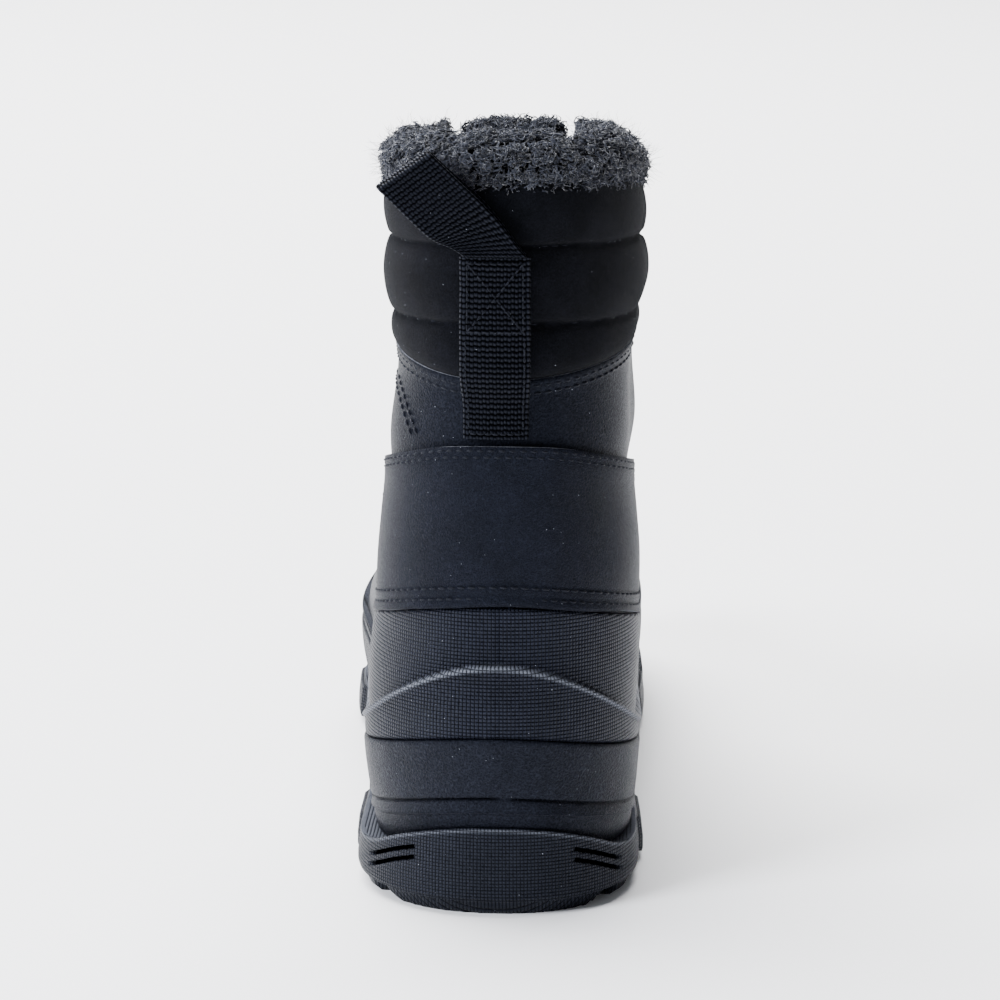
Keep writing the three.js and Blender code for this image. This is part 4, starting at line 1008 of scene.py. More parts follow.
# %% Leather panel
PANEL_COUNT = 241
PANEL_THICKNESS = 2.4
shares = np.concatenate([np.linspace(0, 0.30, 14), np.linspace(0.32, 1.0, 58)])
front_seat, front_cuff = LINES["seat"][3] * INSTEP_HEIGHT, LINES["cuff"][3] * COLLAR_HEIGHT
throat_rows = THROAT_BOTTOM + THROAT_RADIUS * (1 - np.cos(np.linspace(0, np.pi / 2, 12)))
shares = np.unique(np.round(np.concatenate(
    [shares, (throat_rows - front_seat) / (front_cuff - front_seat)]), 4))
seat = line_plus("seat", GAP)
cuff_edge = line_plus("cuff", 0.8)


def by_rows(low, high, shares):
    """Heights for open_rows: one column value for all rows, or one for each row."""
    def heights(column):
        column = np.broadcast_to(np.asarray(column, float), shares.shape)
        return mix(low(column), high(column), shares)
    return heights


across = np.linspace(-1, 1, PANEL_COUNT)
across = np.sign(across) * np.abs(across) ** 0.96
columns, heights = open_rows(across, by_rows(seat, cuff_edge, shares))
to_edge = line("cuff", columns) + 0.8 - heights
panel_out = 0.9 * smooth(1 - to_edge / 7) + creased(columns, heights)
panel_out += 0.38 * ripples(columns, heights / 13, 6, 31) * smooth((heights - 60) / 30)
panel_out = panel_out - 0.25 * bell(to_edge, 2.2, 0.9) - 0.2 * bell(to_edge, 4.6, 0.9)
panel = piece("shaft_panel", joined_grids("shaft_panel", [(skin(columns, heights, panel_out), False)]),
              coated_leather, "upper_leather", "upper")
# Its rim is pale: partly the cut's core, partly a painted highlight on the lit top edge
solidified(panel, PANEL_THICKNESS, cut_edge_and_highlight)

# %% Quilted cuff
CUFF_COUNT = 321
shares = np.linspace(0, 1, 56)
cuff_low = line_plus("cuff", -1.6)
cuff_high = line_plus("collar", -0.1)
across = np.linspace(-1, 1, CUFF_COUNT)
columns, heights = open_rows(across, by_rows(cuff_low, cuff_high, shares))
puff = quilting(columns, heights)
swell = (puff - CUFF_STEP) / PUFF_RISE
pucker = 0.42 * lumps(columns * 75, heights / 9, 41) * np.sin(np.pi * np.clip(swell, 0, 1)) ** 0.8
seam_dip = sum(bell(heights, line(name, columns), 0.8) for name in ("low_seam", "high_seam"))
cuff_out = puff + pucker + 0.5 * lumps(columns * 20, heights / 16, 43) * swell - 0.9 * seam_dip
cuff_out -= 0.8 * bell(heights, line("cuff", columns), 2.0)
cuff = piece("quilted_cuff", joined_grids("quilted_cuff", [(skin(columns, heights, cuff_out), False)]),
             nubuck, "upper_leather", "upper")
solidified(cuff, PANEL_THICKNESS)

# %% Lining
across = np.linspace(-1, 1, 121)
lining_high = line_plus("collar", 0.5)
columns, heights = open_rows(across, by_rows(seat, lining_high, np.linspace(0, 1, 40)))
lining_out = -2.95 + 0.15 * lumps(columns * 25, heights / 9, 47)
lining_grid = skin(columns, heights, lining_out)
# The lining takes the near-black ground finish, as painted shade inside the boot
lining = piece("pile_lining", joined_grids("pile_lining", [(lining_grid, False)]),
               pile_ground, "fleece", "upper")
solidified(lining, 0.5)

# %% [markdown]
# ## Heel counter and eyestays
# The counter is a stiff panel sewn over the heel, and the eyestays are two facings beside the throat.
# Each is a surface at its own distance from the skin. The rim of its wall takes the colour of a cut
# edge, which is the thin pale line that outlines every panel in the photograph; on the counter and
# the shaft panel that pale line is partly the cut's core and partly a painted highlight.

# %% Heel counter
COUNTER_ACROSS, COUNTER_UP = 181, 48
TOP_EDGE_Y = np.array([-42, -34, -24, -8, 6, 13, 16.0])
TOP_EDGE_Z = np.array([151, 149, 145, 140, 136, 132, 124.0])
fine = np.linspace(0.0, 0.6, 600)
end_columns = []
for side in (-1, 1):
    heights_there = np.linspace(60, 140, COUNTER_UP)
    y = skin(side * fine[None], heights_there[:, None])[..., 1]
    end_columns.append(np.array([np.interp(15.5, row, fine) for row in y]))
rise = np.linspace(0, 1, COUNTER_UP)[:, None]
span = np.linspace(-1, 1, COUNTER_ACROSS)[None]
limit = np.where(span < 0, end_columns[0][:, None], end_columns[1][:, None])
columns = span * limit
place_y = skin(columns, 120.0)[..., 1]
top = through(TOP_EDGE_Z, TOP_EDGE_Y, np.clip(place_y, -42, 16))
bottom = line("shell_top", columns) + 0.6 + 1.1 * lumps(columns * 30, columns * 9, 51)
heights = mix(bottom, top, rise)
counter_out = GAP + COUNTER_THICKNESS + 0.25 * lumps(columns * 13, heights / 15, 53)
counter_out += 0.75 * bell(heights - bottom, 0, 2.2) - 0.25 * bell(top - heights, 0, 0.6)
counter_out -= 0.22 * (bell(top - heights, 1.3, 0.5) + bell(top - heights, 3.3, 0.5))
counter_out -= 0.45 * (bell(heights - bottom, 3.0, 0.7) + bell(heights - bottom, 6.5, 0.7))
counter_out += 0.35 * lumps(columns * 60, heights / 2.4, 57) * bell(heights - bottom, 3.5, 4.0)
counter = piece("counter_panel", joined_grids(
    "counter_panel", [(skin(columns, heights, counter_out), False)]),
    counter_leather, "counter_leather", "heel_counter")
# Its rim is pale: partly the cut's core, partly a painted highlight on the lit edges
solidified(counter, COUNTER_THICKNESS - 0.2, cut_edge_and_highlight)


# %% Eyestays
EYESTAY_TOP = LINES["high_seam"][3] * COLLAR_HEIGHT
EYESTAY_ROWS = np.array([
    [0.3, 98.3, 14.7, 91.7], [0.3, 99.5, 19.0, 96.0], [0.3, 104.0, 21.0, 104.3],
    [0.3, 194.0, 17.85, 195.6], [0.3, EYESTAY_TOP, 14.7, EYESTAY_TOP],
])


def throat_line(height):
    """Half the width between the facings: straight from bottom to top."""
    top = LINES["collar"][3] * COLLAR_HEIGHT
    share = np.clip((height - THROAT_BOTTOM) / (top - THROAT_BOTTOM), 0, 1)
    return mix(THROAT_RADIUS, THROAT_TOP_WIDTH / 2, share)


def beside_throat(across, height, side, out):
    """Point on the upper at a distance beside the throat, with the cuff's quilting under it."""
    column = column_beside(throat_line(height) + across, height, side)
    return skin(column, height, quilting(column, height) + out)


EYESTAY_SHARES = (0, 0.02, 0.06, 0.95, 1.0)
for side, name in ((-1, "outer"), (1, "inner")):
    rows_at = np.concatenate([[0, 0.012, 0.05], np.linspace(0.08, 0.95, 64), [0.975, 1.0]])
    corners = np.stack([np.interp(rows_at, EYESTAY_SHARES, EYESTAY_ROWS[:, k]) for k in range(4)], -1)
    t = np.linspace(0, 1, 22)[None]
    beside = mix(corners[:, :1], corners[:, 2:3], t)
    height = mix(corners[:, 1:2], corners[:, 3:4], t)
    rim = np.minimum(np.minimum(t, 1 - t) * 20, np.minimum(rows_at, 1 - rows_at)[:, None] * 100)
    out = GAP + EYESTAY_THICKNESS - 0.45 * bell(rim, 0, 0.8)
    facing = piece(f"eyestay_{name}_facing", joined_grids(
        f"eyestay_{name}_facing", [(beside_throat(beside, height, side, out)[:, ::-side], False)]),
        coated_leather, "eyestay_leather", f"eyestay_{name}")
    solidified(facing, EYESTAY_THICKNESS - 0.2, facing_edge)

# %% [markdown]
# ## Tongue, footbed, eyelets and lace
# None of these shows in the photograph, so they follow what a boot of this kind has: a padded tongue
# behind the throat, a felted footbed, six pairs of pressed rings and a round braided lace that dips
# into each ring.


# %% Tongue
def tongue_grid(rows, round_count):
    """Closed rings up the tongue: a flat pad whose front and back meet in rounded edges."""
    z = np.linspace(82.0, 221.0, rows)
    half = np.interp(z, [82, 130, 178, 200, 221], [24.8, 31, 31, 19, 19])
    half *= np.clip(1 - ((z - 200) / 22).clip(0) ** 6, 0.05, 1) ** 0.5
    half *= np.clip(1 - ((96 - z) / 15).clip(0) ** 4, 0.05, 1) ** 0.5
    turn = np.linspace(0, 2 * np.pi, round_count, endpoint=False)[None]
    across = np.sign(np.cos(turn)) * np.abs(np.cos(turn)) ** 0.7 * half[:, None]
    ends = np.clip(np.minimum(z - 81.9, 221.1 - z) / 3, 0, 1) ** 0.5
    depth = 2.95 * np.sign(np.sin(turn)) * np.abs(np.sin(turn)) ** 0.5 * ends[:, None]
    height = np.broadcast_to(z[:, None], across.shape)
    channel = np.abs(((height - 96) % 30) - 15)
    depth = depth - 0.7 * (depth > 0) * bell(channel, 15, 1.3)
    outer = column_beside(np.abs(across), height, -1)
    inner = column_beside(np.abs(across), height, 1)
    return skin(np.where(across < 0, outer, inner), height, -6.8 + depth)


tongue = piece("tongue_pad", closed_body("tongue_pad", [(tongue_grid(110, 72), True)]),
               nubuck, "tongue_fabric", "tongue")

# %% Footbed
bed_columns = round_columns(200, 34.0)


def bed_ring(inset, lift):
    """Ring of the footbed, inside the upper by an inset, at a height above the seat."""
    ring = skin(bed_columns, line("seat", bed_columns) + 3, -WALL - GAP - inset)
    ring[:, 2] = floor_height("seat", ring[:, 1]) + lift
    return ring


# Inset and lift of each ring, from the felt's underside over its rounded edge to its top
BED_EDGE = ((1.2, 0.65), (0.3, 1.0), (0.1, 2.2), (0.3, 3.6), (1.6, 4.4))
bed_rows = [bed_ring(inset, lift) for inset, lift in BED_EDGE]
bed_lids = []
for ring, lift in ((bed_rows[0], 0.65), (bed_rows[-1], 4.4)):
    surface = lid(ring, 30)
    inside = surface[:, 1:-1]
    inside[..., 2] = floor_height("seat", inside[..., 1]) + lift
    inside[..., 2] += 0.25 * lumps(inside[..., 0] / 9, inside[..., 1] / 9, 61) * (lift > 1)
    bed_lids.append((surface, False))
footbed = piece("felt_footbed", closed_body("felt_footbed", [(np.stack(bed_rows), True), *bed_lids]),
                felt, "footbed_felt", "insole")

# %% Eyelets
EYELET_HEIGHTS = np.linspace(108, 194, 6)
EYELET_INSET = 9.0
RING_RADIUS, HOLE_RADIUS = 4.4, 2.4
# The barrel that goes down through the facing, and its sheet
BARREL, BARREL_WALL = 2.2, 0.35


def eyelet_frame(side):
    """Places of one side's eyelets with the skin's normal and two directions across it."""
    column = column_beside(throat_line(EYELET_HEIGHTS) + EYELET_INSET, EYELET_HEIGHTS, side)
    rise = quilting(column, EYELET_HEIGHTS)
    base = skin(column, EYELET_HEIGHTS, rise + GAP + EYESTAY_THICKNESS)
    normal = skin(column, EYELET_HEIGHTS, rise + 4) - skin(column, EYELET_HEIGHTS, rise + 3)
    first = np.cross(normal, [0, 0, 1.0])
    first /= np.linalg.norm(first, axis=-1, keepdims=True)
    return base, normal, first, np.cross(normal, first)


# Radius and rise of the ring's section: over its rounded face, down the hole and back up outside
# the barrel
RING_SECTION = np.array([
    [RING_RADIUS - 0.1, 0.05], [RING_RADIUS, 0.35],
    [RING_RADIUS - 0.25, 0.85], [RING_RADIUS - 0.8, 1.25],
    [HOLE_RADIUS + 0.7, 1.3], [HOLE_RADIUS + 0.25, 1.05], [HOLE_RADIUS, 0.5], [HOLE_RADIUS, -BARREL],
    [HOLE_RADIUS + BARREL_WALL, -BARREL], [HOLE_RADIUS + BARREL_WALL, 0.05]])
for side, name in ((-1, "outer"), (1, "inner")):
    base, normal, first, second = eyelet_frame(side)
    turn = np.linspace(0, 2 * np.pi, 28, endpoint=False)
    circle = np.cos(turn)[:, None] * first[:, None] + np.sin(turn)[:, None] * second[:, None]
    rings = base[:, None, None] + RING_SECTION[None, :, :1, None] * circle[:, None] \
        + RING_SECTION[None, :, 1:, None] * normal[:, None, None]
    grids = [(np.concatenate([ring, ring[:1]]), True) for ring in rings]
    nodes = [f"eyelet_{name}_{k + 1}" for k in range(6)]
    rings_mesh = closed_body(f"eyelet_rings_{name}", grids)
    piece(f"eyelet_rings_{name}", rings_mesh, enamel, "eyelet_metal", *nodes)


# %% Tubes along paths
def tube(path, radius, sides, twist=0.0, relief=0.0, ridges=4):
    """Closed tube along a path of points: rings in the plane across the path, with a relief that
    winds round like the strands of a braid."""
    path = np.asarray(path, float)
    along = np.gradient(path, axis=0)
    along /= np.linalg.norm(along, axis=-1, keepdims=True)
    aside = np.cross(along, [0.0, 0.0, 1.0])
    aside /= np.linalg.norm(aside, axis=-1, keepdims=True)
    above = np.cross(aside, along)
    walk = np.concatenate([[0], np.cumsum(np.linalg.norm(np.diff(path, axis=0), axis=-1))])
    turn = np.linspace(0, 2 * np.pi, sides, endpoint=False)[None]
    winding = walk[:, None] * twist
    braid = np.maximum(np.cos(ridges * turn + winding), np.cos(ridges * turn - winding))
    size = (radius + relief * braid) * np.ones_like(turn)
    size[0] = size[-1] = 0.02
    ring = np.cos(turn)[..., None] * aside[:, None] + np.sin(turn)[..., None] * above[:, None]
    return path[:, None] + ring * size[..., None]


LACE_RADIUS = 2.0
LACE_OVER = GAP + EYESTAY_THICKNESS + 4.9
frames = {side: eyelet_frame(side) for side in (-1, 1)}
grids = []
for pair, height in enumerate(EYELET_HEIGHTS):
    reach = {side: column_beside(throat_line(height) + EYELET_INSET, height, side) for side in (-1, 1)}
    t = np.linspace(-1, 1, 80)
    column = np.where(t < 0, -1 - t * (1 + reach[-1]), 1 - t * (1 - reach[1]))
    lift = quilting(np.array(reach[1]), height) + LACE_OVER
    path = skin(column, np.full(80, height), lift)
    for side in (-1, 1):
        base, normal = frames[side][0][pair], frames[side][1][pair]
        near = smooth((np.abs(t) - 0.80) / 0.14) * (np.sign(t) == side)
        deep = mix(4.4, -2.0, smooth((np.abs(t) - 0.86) / 0.14))
        path = mix(path, base + normal * deep[:, None], near[:, None])
    grids.append((tube(path, LACE_RADIUS, 16, twist=2.1, relief=0.14), True))
bars_of_lace = [f"lace_bar_{k + 1}" for k in range(6)]
piece("lace_cords", closed_body("lace_cords", grids), lace_braid, "lace", *bars_of_lace)

# %% [markdown]
# ## Webbing
# The strip up the heel and the pull loop are the same narrow polyester webbing, about 20 mm wide. It
# has firm edges and a rib weave of knots, 1 mm apart across and 1.6 mm along. At this distance the
# weave is easy to see, so it is real relief, worked out as the product of two half sines whose rows
# are shifted a little from one rib to the next.

# %% Weave
KNOT_HEIGHT = 0.45


def weave(across, along):
    """Height of the weave at a place on the webbing: ribs of knots, each rib shifted a
    little, and a plain rolled edge."""
    rib = np.floor(across / KNOT_ACROSS)
    ridge = np.abs(np.sin(np.pi * across / KNOT_ACROSS)) ** 0.6
    knot = np.abs(np.sin(np.pi * (along / KNOT_ALONG + KNOT_SHIFT * (rib % 2)))) ** 0.7
    border = smooth((WEBBING_WIDTH / 2 - 1.1 - np.abs(across)) / 0.5)
    hem = 0.8 * (1 - border) * (0.7 + 0.3 * np.abs(np.sin(np.pi * along / (KNOT_ALONG / 2))))
    edge = smooth((WEBBING_WIDTH / 2 - np.abs(across)) / 0.5)
    return KNOT_HEIGHT * (border * ridge * knot + hem) * edge


def weave_uv(front, back, along):
    """UV of rings round the webbing: across it, on the front and then on the back, and along it."""
    across = np.concatenate([front.ravel(), back.ravel(), front.ravel()[:1]])
    return np.stack(np.broadcast_arrays(across[None] + 0.5 * WEBBING_WIDTH, along), -1) * MM


# %% Heel strip
STRIP_BOTTOM, STRIP_TOP, COUNTER_TOP = 152.0, 208.7, 160.0


def column_behind(distance, height):
    """Column of the heel arc whose skin lies a distance beside the middle, plus or minus: the heel
    arc's own formula turned round."""
    section = through(SECTIONS, SECTION_HEIGHTS, height)
    heel = np.where(distance < 0, section[..., 2], section[..., 3])
    turn = np.arcsin(np.clip(np.abs(distance) / heel, 0, 1) ** (HEEL_FULLNESS / 2))
    return np.sign(distance) * turn * 2 / np.pi * HEEL_END


def strip_stand(height):
    """Distance of the strip's back from the skin: it steps over the cuff's puffs."""
    cuff_rear = LINES["cuff"][0] * COLLAR_HEIGHT
    swell = smooth((height - COUNTER_TOP) / (cuff_rear + PUFF_PITCH / 4 - COUNTER_TOP))
    return GAP + 0.4 + (PUFF_RISE + CUFF_STEP) * swell


def on_strip(across, height, over):
    """Point on the strip at a distance over its outer face."""
    across, height = np.broadcast_arrays(np.asarray(across, float), np.asarray(height, float))
    sag = 0.35 * np.cos(np.pi * (height - 187) / 11) * smooth((height - 165) / 10)
    out = strip_stand(height) + WEBBING_THICKNESS - 0.3 + sag * 0.5 + over
    return skin(column_behind(across, height), height, out)


STRIP_STEP = 0.25
height = np.arange(STRIP_BOTTOM, STRIP_TOP, STRIP_STEP)[:, None]
front = np.linspace(-WEBBING_WIDTH / 2, WEBBING_WIDTH / 2, 77)[None]
back = np.linspace(WEBBING_WIDTH / 2, -WEBBING_WIDTH / 2, 5)[None]
front_face = on_strip(front, height, weave(front, height))
back_face = on_strip(back, height, -WEBBING_THICKNESS + 0.4)
strip_grid = np.concatenate([front_face, back_face], 1)
first, last = strip_grid[:1].copy(), strip_grid[-1:].copy()
for end in (first, last):
    end[:, :77] = on_strip(front, end[:, :1, 2], -WEBBING_THICKNESS + 0.4)
strip_grid = np.concatenate([first, strip_grid, last])
strip_uv = weave_uv(front, back, np.concatenate([height[:1], height, height[-1:]]))
piece("heel_webbing", closed_body("heel_webbing", [(strip_grid, True, strip_uv)]),
      webbing, "webbing", "heel_strip")

# %% Pull loop
LOOP_SEAM, LOOP_LENGTH, LOOP_STAND = 209.0, 38.6, 3.2
LOOP_LEAN, LOOP_TURN = np.radians(46), np.radians(35)
LOOP_MIDDLE = 1.6
loop_foot = skin(0.0, LOOP_SEAM, PUFF_RISE + CUFF_STEP + GAP + WEBBING_THICKNESS + 0.8)


def loop_place(across, depth, climb):
    """Point of the loop from its own sizes: across the webbing, through the fold and up the loop.
    It turns and leans as it climbs."""
    turn = LOOP_TURN * smooth(climb / (LOOP_LENGTH / 2))
    x = loop_foot[0] + across * np.cos(turn) - climb * np.sin(LOOP_LEAN)
    y = loop_foot[1] + depth - LOOP_STAND * smooth(climb / LOOP_LENGTH)
    z = LOOP_SEAM + across * np.sin(turn) + climb * np.cos(LOOP_LEAN)
    return np.stack(np.broadcast_arrays(x, y, z), -1)


def loop_band(walk, over):
    """Depth and climb of the folded webbing at a distance walked along its middle, moved out by a
    distance over its middle: a leg, a half circle and the other leg. The legs spread a little."""
    leg = LOOP_LENGTH - LOOP_MIDDLE - 0.8
    arc = np.clip((walk - leg) / LOOP_MIDDLE, 0, np.pi)
    radius = LOOP_MIDDLE + over
    climb = np.where(walk < leg, walk, np.where(arc < np.pi, leg, 2 * leg + np.pi * LOOP_MIDDLE - walk))
    spread = 1.1 * np.sin(np.pi * np.clip(climb / LOOP_LENGTH, 0, 1)) ** 2
    return -np.cos(arc) * (radius + spread), climb + np.sin(arc) * radius


total = 2 * (LOOP_LENGTH - LOOP_MIDDLE - 0.8) + np.pi * LOOP_MIDDLE
walk = np.arange(0, total, 0.28)[:, None]
front = np.linspace(-WEBBING_WIDTH / 2, WEBBING_WIDTH / 2, 77)[None]
back = np.linspace(WEBBING_WIDTH / 2, -WEBBING_WIDTH / 2, 9)[None]
outer_depth, outer_climb = loop_band(walk, 0.5 + weave(front, walk))
inner_depth, inner_climb = loop_band(walk, -0.6 + 0.0 * back)
ripple = 0.35 * np.sin(walk / 4.1) * smooth(walk / 12)
front_face = loop_place(front, outer_depth + ripple, outer_climb)
back_face = loop_place(back, inner_depth + ripple, inner_climb)
loop_grid = np.concatenate([front_face, back_face], 1)
ends = []
for row in (0, -1):
    end = loop_grid[row:row + 1].copy() if row == 0 else loop_grid[row:].copy()
    end[:, :77] = end[:, 77:78] + (end[:, -1:] - end[:, 77:78]) * np.linspace(1, 0, 77)[None, :, None]
    ends.append(end)
loop_grid = np.concatenate([ends[0], loop_grid, ends[1]])
loop_uv = weave_uv(front, back, np.concatenate([walk[:1], walk, walk[-1:]]))
piece("pull_loop_webbing", closed_body("pull_loop_webbing", [(loop_grid, True, loop_uv)]),
      webbing, "webbing", "pull_loop")

# %% [markdown]
# ## Stitching
# Every seam has its thread. One stitch is a small rounded bar that dives into the leather at both
# ends, and a row of them is laid along a line on the skin at the machine's own pitch. All stitches of
# one kind are one mesh, because thousands of objects would be slow and no easier to change.

# %% Rows of stitches
STITCH_PITCH = 3.3
# How fast a stitch sinks towards its ends, per millimetre of its length squared
STITCH_DIP = 0.25
STITCH_SHAPE = np.array([[-1.0, 0.25], [-0.72, 0.85], [0.0, 1.0], [0.72, 0.85], [1.0, 0.25]])
STITCH_SIDES = 6


def stitch_row(points, above, pitch=STITCH_PITCH):
    """Middles, directions and normals of stitches at a pitch along a line of points. Above is the
    same line one millimetre further from the skin."""
    walk = np.concatenate([[0], np.cumsum(np.linalg.norm(np.diff(points, axis=0), axis=-1))])
    at = np.arange(pitch / 2, walk[-1], pitch)

    def read(rows, places):
        return np.stack([np.interp(places, walk, rows[:, k]) for k in range(3)], -1)

    along = read(points, at + 0.4) - read(points, at - 0.4)
    along /= np.linalg.norm(along, axis=-1, keepdims=True)
    return read(points, at), along, read(above - points, at)


def stitch_mesh(name, rows, length, width):
    """Mesh of all stitches of some rows: an elongated closed bead at each middle, sunk by half."""
    middle, along, normal = (np.concatenate(parts) for parts in zip(*rows))
    aside = np.cross(normal, along)
    turn = np.linspace(0, 2 * np.pi, STITCH_SIDES, endpoint=False)
    x = STITCH_SHAPE[:, 0] * length / 2
    ring = STITCH_SHAPE[:, 1] * width / 2
    sideways = (ring[:, None] * np.cos(turn))[None, ..., None]
    outward = (ring[:, None] * np.sin(turn) - STITCH_DIP * x[:, None] ** 2)[None, ..., None]
    points = (middle[:, None, None]
              + x[None, :, None, None] * along[:, None, None]
              + sideways * aside[:, None, None]
              + outward * normal[:, None, None])
    return beads(name, bent(points))


def beads(name, points):
    """Mesh of many small tubes: points holds one row of rings for each, and both ends are capped."""
    count, rings, sides = points.shape[:3]
    table = np.arange(rings * sides).reshape(rings, sides)
    turned = np.roll(table, -1, axis=1)
    quads = np.stack([table[:-1], turned[:-1], turned[1:], table[1:]], -1).reshape(-1, 4)
    starts = (np.arange(count) * rings * sides)[:, None, None]
    faces = (quads[None] + starts).reshape(-1, 4).tolist()
    caps = np.stack([table[0][::-1], table[-1]])
    faces += (caps[None] + starts).reshape(-1, sides).tolist()
    mesh = bpy.data.meshes.new(name)
    mesh.from_pydata(points.reshape(-1, 3) * MM, [], faces)
    mesh.shade_smooth()
    return mesh


def on_skin(columns, heights, out):
    """A line on the skin and the same line one millimetre further out, for stitch_row."""
    columns, heights, out = np.broadcast_arrays(columns, heights, out)
    return skin(columns, heights, out), skin(columns, heights, out + 1.0)


# %% Seams of the upper and counter
rows = []
round_the_back = np.linspace(-0.70, 0.70, 420)
for name in ("low_seam", "high_seam"):
    rows.append(stitch_row(*on_skin(round_the_back, line(name, round_the_back), CUFF_STEP - 0.75)))
for drop, out in ((2.2, 0.42), (4.6, 0.22)):
    rows.append(stitch_row(*on_skin(round_the_back, line("cuff", round_the_back) + 0.8 - drop, out)))

# The rows along the counter's edge: up its front edge, round the corner and across its top
for drop in (1.3, 3.3):
    u = np.concatenate([np.full(60, -1.0), np.linspace(-1, 1, 300), np.full(60, 1.0)])
    t = np.concatenate([np.linspace(0.12, 1, 60), np.ones(300), np.linspace(1, 0.12, 60)])
    u = u * (1 - drop / 82)
    reach_low, reach_high = (np.interp(t, rise[:, 0], ends) for ends in end_columns)
    c = u * np.where(u < 0, reach_low, reach_high)
    edge_top = through(TOP_EDGE_Z, TOP_EDGE_Y, np.clip(skin(c, 120.0)[..., 1], -42, 16))
    edge_low = line("shell_top", c)
    z = edge_low + (edge_top - edge_low) * t - drop * (t > 0.999)
    rows.append(stitch_row(*on_skin(c, z, GAP + COUNTER_THICKNESS - 0.12)))
low_row = np.linspace(-0.33, 0.33, 400)
on_counter = GAP + COUNTER_THICKNESS + 0.02
for lift in (3.0, 6.5):
    rows.append(stitch_row(*on_skin(low_row, line("shell_top", low_row) + lift, on_counter)))

# The slanting double seam of the outer quarter
slant = np.linspace(0, 1, 60)
for shift in (0.0, 2.4):
    x, z = mix(-34.5, -27.5, slant) + shift, mix(165.0, 150.5, slant)
    rows.append(stitch_row(*on_skin(column_behind(x, z), z, 0.15)))

for side in (-1, 1):
    z = np.linspace(104, EYESTAY_TOP - 3, 200)
    wide = EYESTAY_WIDTH * np.interp(z, [104.3, 195.6, EYESTAY_TOP], [1.0, 0.85, 0.7])
    for across_by in (2.2, wide - 2.0):
        path = beside_throat(across_by, z, side, GAP + EYESTAY_THICKNESS - 0.05)
        above = beside_throat(across_by, z, side, GAP + EYESTAY_THICKNESS + 0.95)
        rows.append(stitch_row(path, above))
piece("upper_stitches", stitch_mesh("upper_stitches", rows, 2.5, 0.75), thread, "webbing")


# %% Seams of the webbing
def on_webbing(ends, count=80):
    """Straight line on the strip between two places, each across and up, and one above it."""
    (x0, z0), (x1, z1) = ends
    t = np.linspace(0, 1, count)
    x, z = mix(x0, x1, t), mix(z0, z1, t)
    return on_strip(x, z, KNOT_HEIGHT + 0.1), on_strip(x, z, KNOT_HEIGHT + 1.1)


BOX = (-7.4, 7.4, 185.6, 206.6)
left, right, low_z, high_z = BOX
box_lines = [
    ((left, low_z), (left, high_z)), ((right, low_z), (right, high_z)), ((left, low_z), (right, low_z)),
    ((left, high_z), (right, high_z)),
    ((left, low_z), (right, high_z)), ((left, high_z), (right, low_z)),
    ((-7.6, 153.6), (7.6, 153.6)), ((-7.8, 155.5), (-7.8, 183.0)), ((7.8, 155.5), (7.8, 183.0)),
]
rows = [stitch_row(*on_webbing(ends), pitch=2.3) for ends in box_lines]
piece("webbing_stitches", stitch_mesh("webbing_stitches", rows, 1.9, 0.55), thread, "webbing")

# %% [markdown]
# ## Fleece
# The collar is a deep curly pile. A lumpy roll, near-black as painted shade deep in the pile, gives it
# body and stops light from shining through. On the roll grow several thousand short corkscrew curls,
# gathered into tufts by leaning each one to the nearest tuft's middle, and at the outside they hang
# over the cuff. Modelled curls cast real shadows on each other, which a bump could not do, and they
# are plain mesh, which a hair system is not.

# %% Roll under the pile
ROLL_SECTION = FLEECE_HEIGHT * np.array([
    [0.05, 0.02], [0.17, 0.26], [0.14, 0.58], [-0.10, 0.81], [-0.45, 0.97], [-0.84, 0.74],
    [-0.97, 0.26], [-0.84, -0.77], [-0.53, -1.50], [-0.30, -1.50], [-0.27, 0.02],
])
TONGUE_SECTION = FLEECE_HEIGHT * np.array([
    [0.00, 0.15], [0.06, 0.52], [-0.13, 0.84], [-0.52, 0.94], [-0.90, 0.65], [-0.97, 0.15]])
PILE_DEPTH = 2.6
COLLAR_FRONT = LINES["collar"][3] * COLLAR_HEIGHT
THROAT_KEEP = THROAT_TOP_WIDTH / 2 + 1.2


def round_section(section, count):
    """A closed section drawn smoothly through its corners, as count points."""
    looped = np.concatenate([section[-2:], section, section[:3]])
    keys = np.arange(len(looped)) - 2.0
    return through(looped, keys, np.linspace(0, len(section), count, endpoint=False))


# Notches between the lobes of the pile: column, depth and half width
NOTCHES = ((0.125, 5.5, 0.018), (-0.075, 2.6, 0.022), (-0.36, 3.0, 0.03), (0.40, 3.2, 0.03),
           (0.63, 2.8, 0.03), (-0.66, 3.4, 0.03))


def on_collar(column, out, up):
    """Point at a distance from the skin and above the collar line, kept beside the throat. The top
    is lowered at each notch."""
    notch = sum(depth * bell(column, place, half) for place, depth, half in NOTCHES)
    swell = 1.2 * lumps(column * 30, column * 11, 67)
    up = up - (notch - swell) * smooth((up - 3) / 9)
    base = line("collar", column)
    place = skin(column, base, out)
    place[..., 2] = base + up
    near_front = (place[..., 1] > 0) & (np.abs(place[..., 0]) < THROAT_KEEP)
    place[..., 0] = np.where(near_front, np.sign(place[..., 0]) * THROAT_KEEP, place[..., 0])
    return place


def on_tongue(column, out, up):
    """Point at a distance from the skin and above the tongue's top."""
    place = skin(column, np.full(np.shape(column), COLLAR_FRONT), out)
    place[..., 2] = COLLAR_FRONT + up
    return place


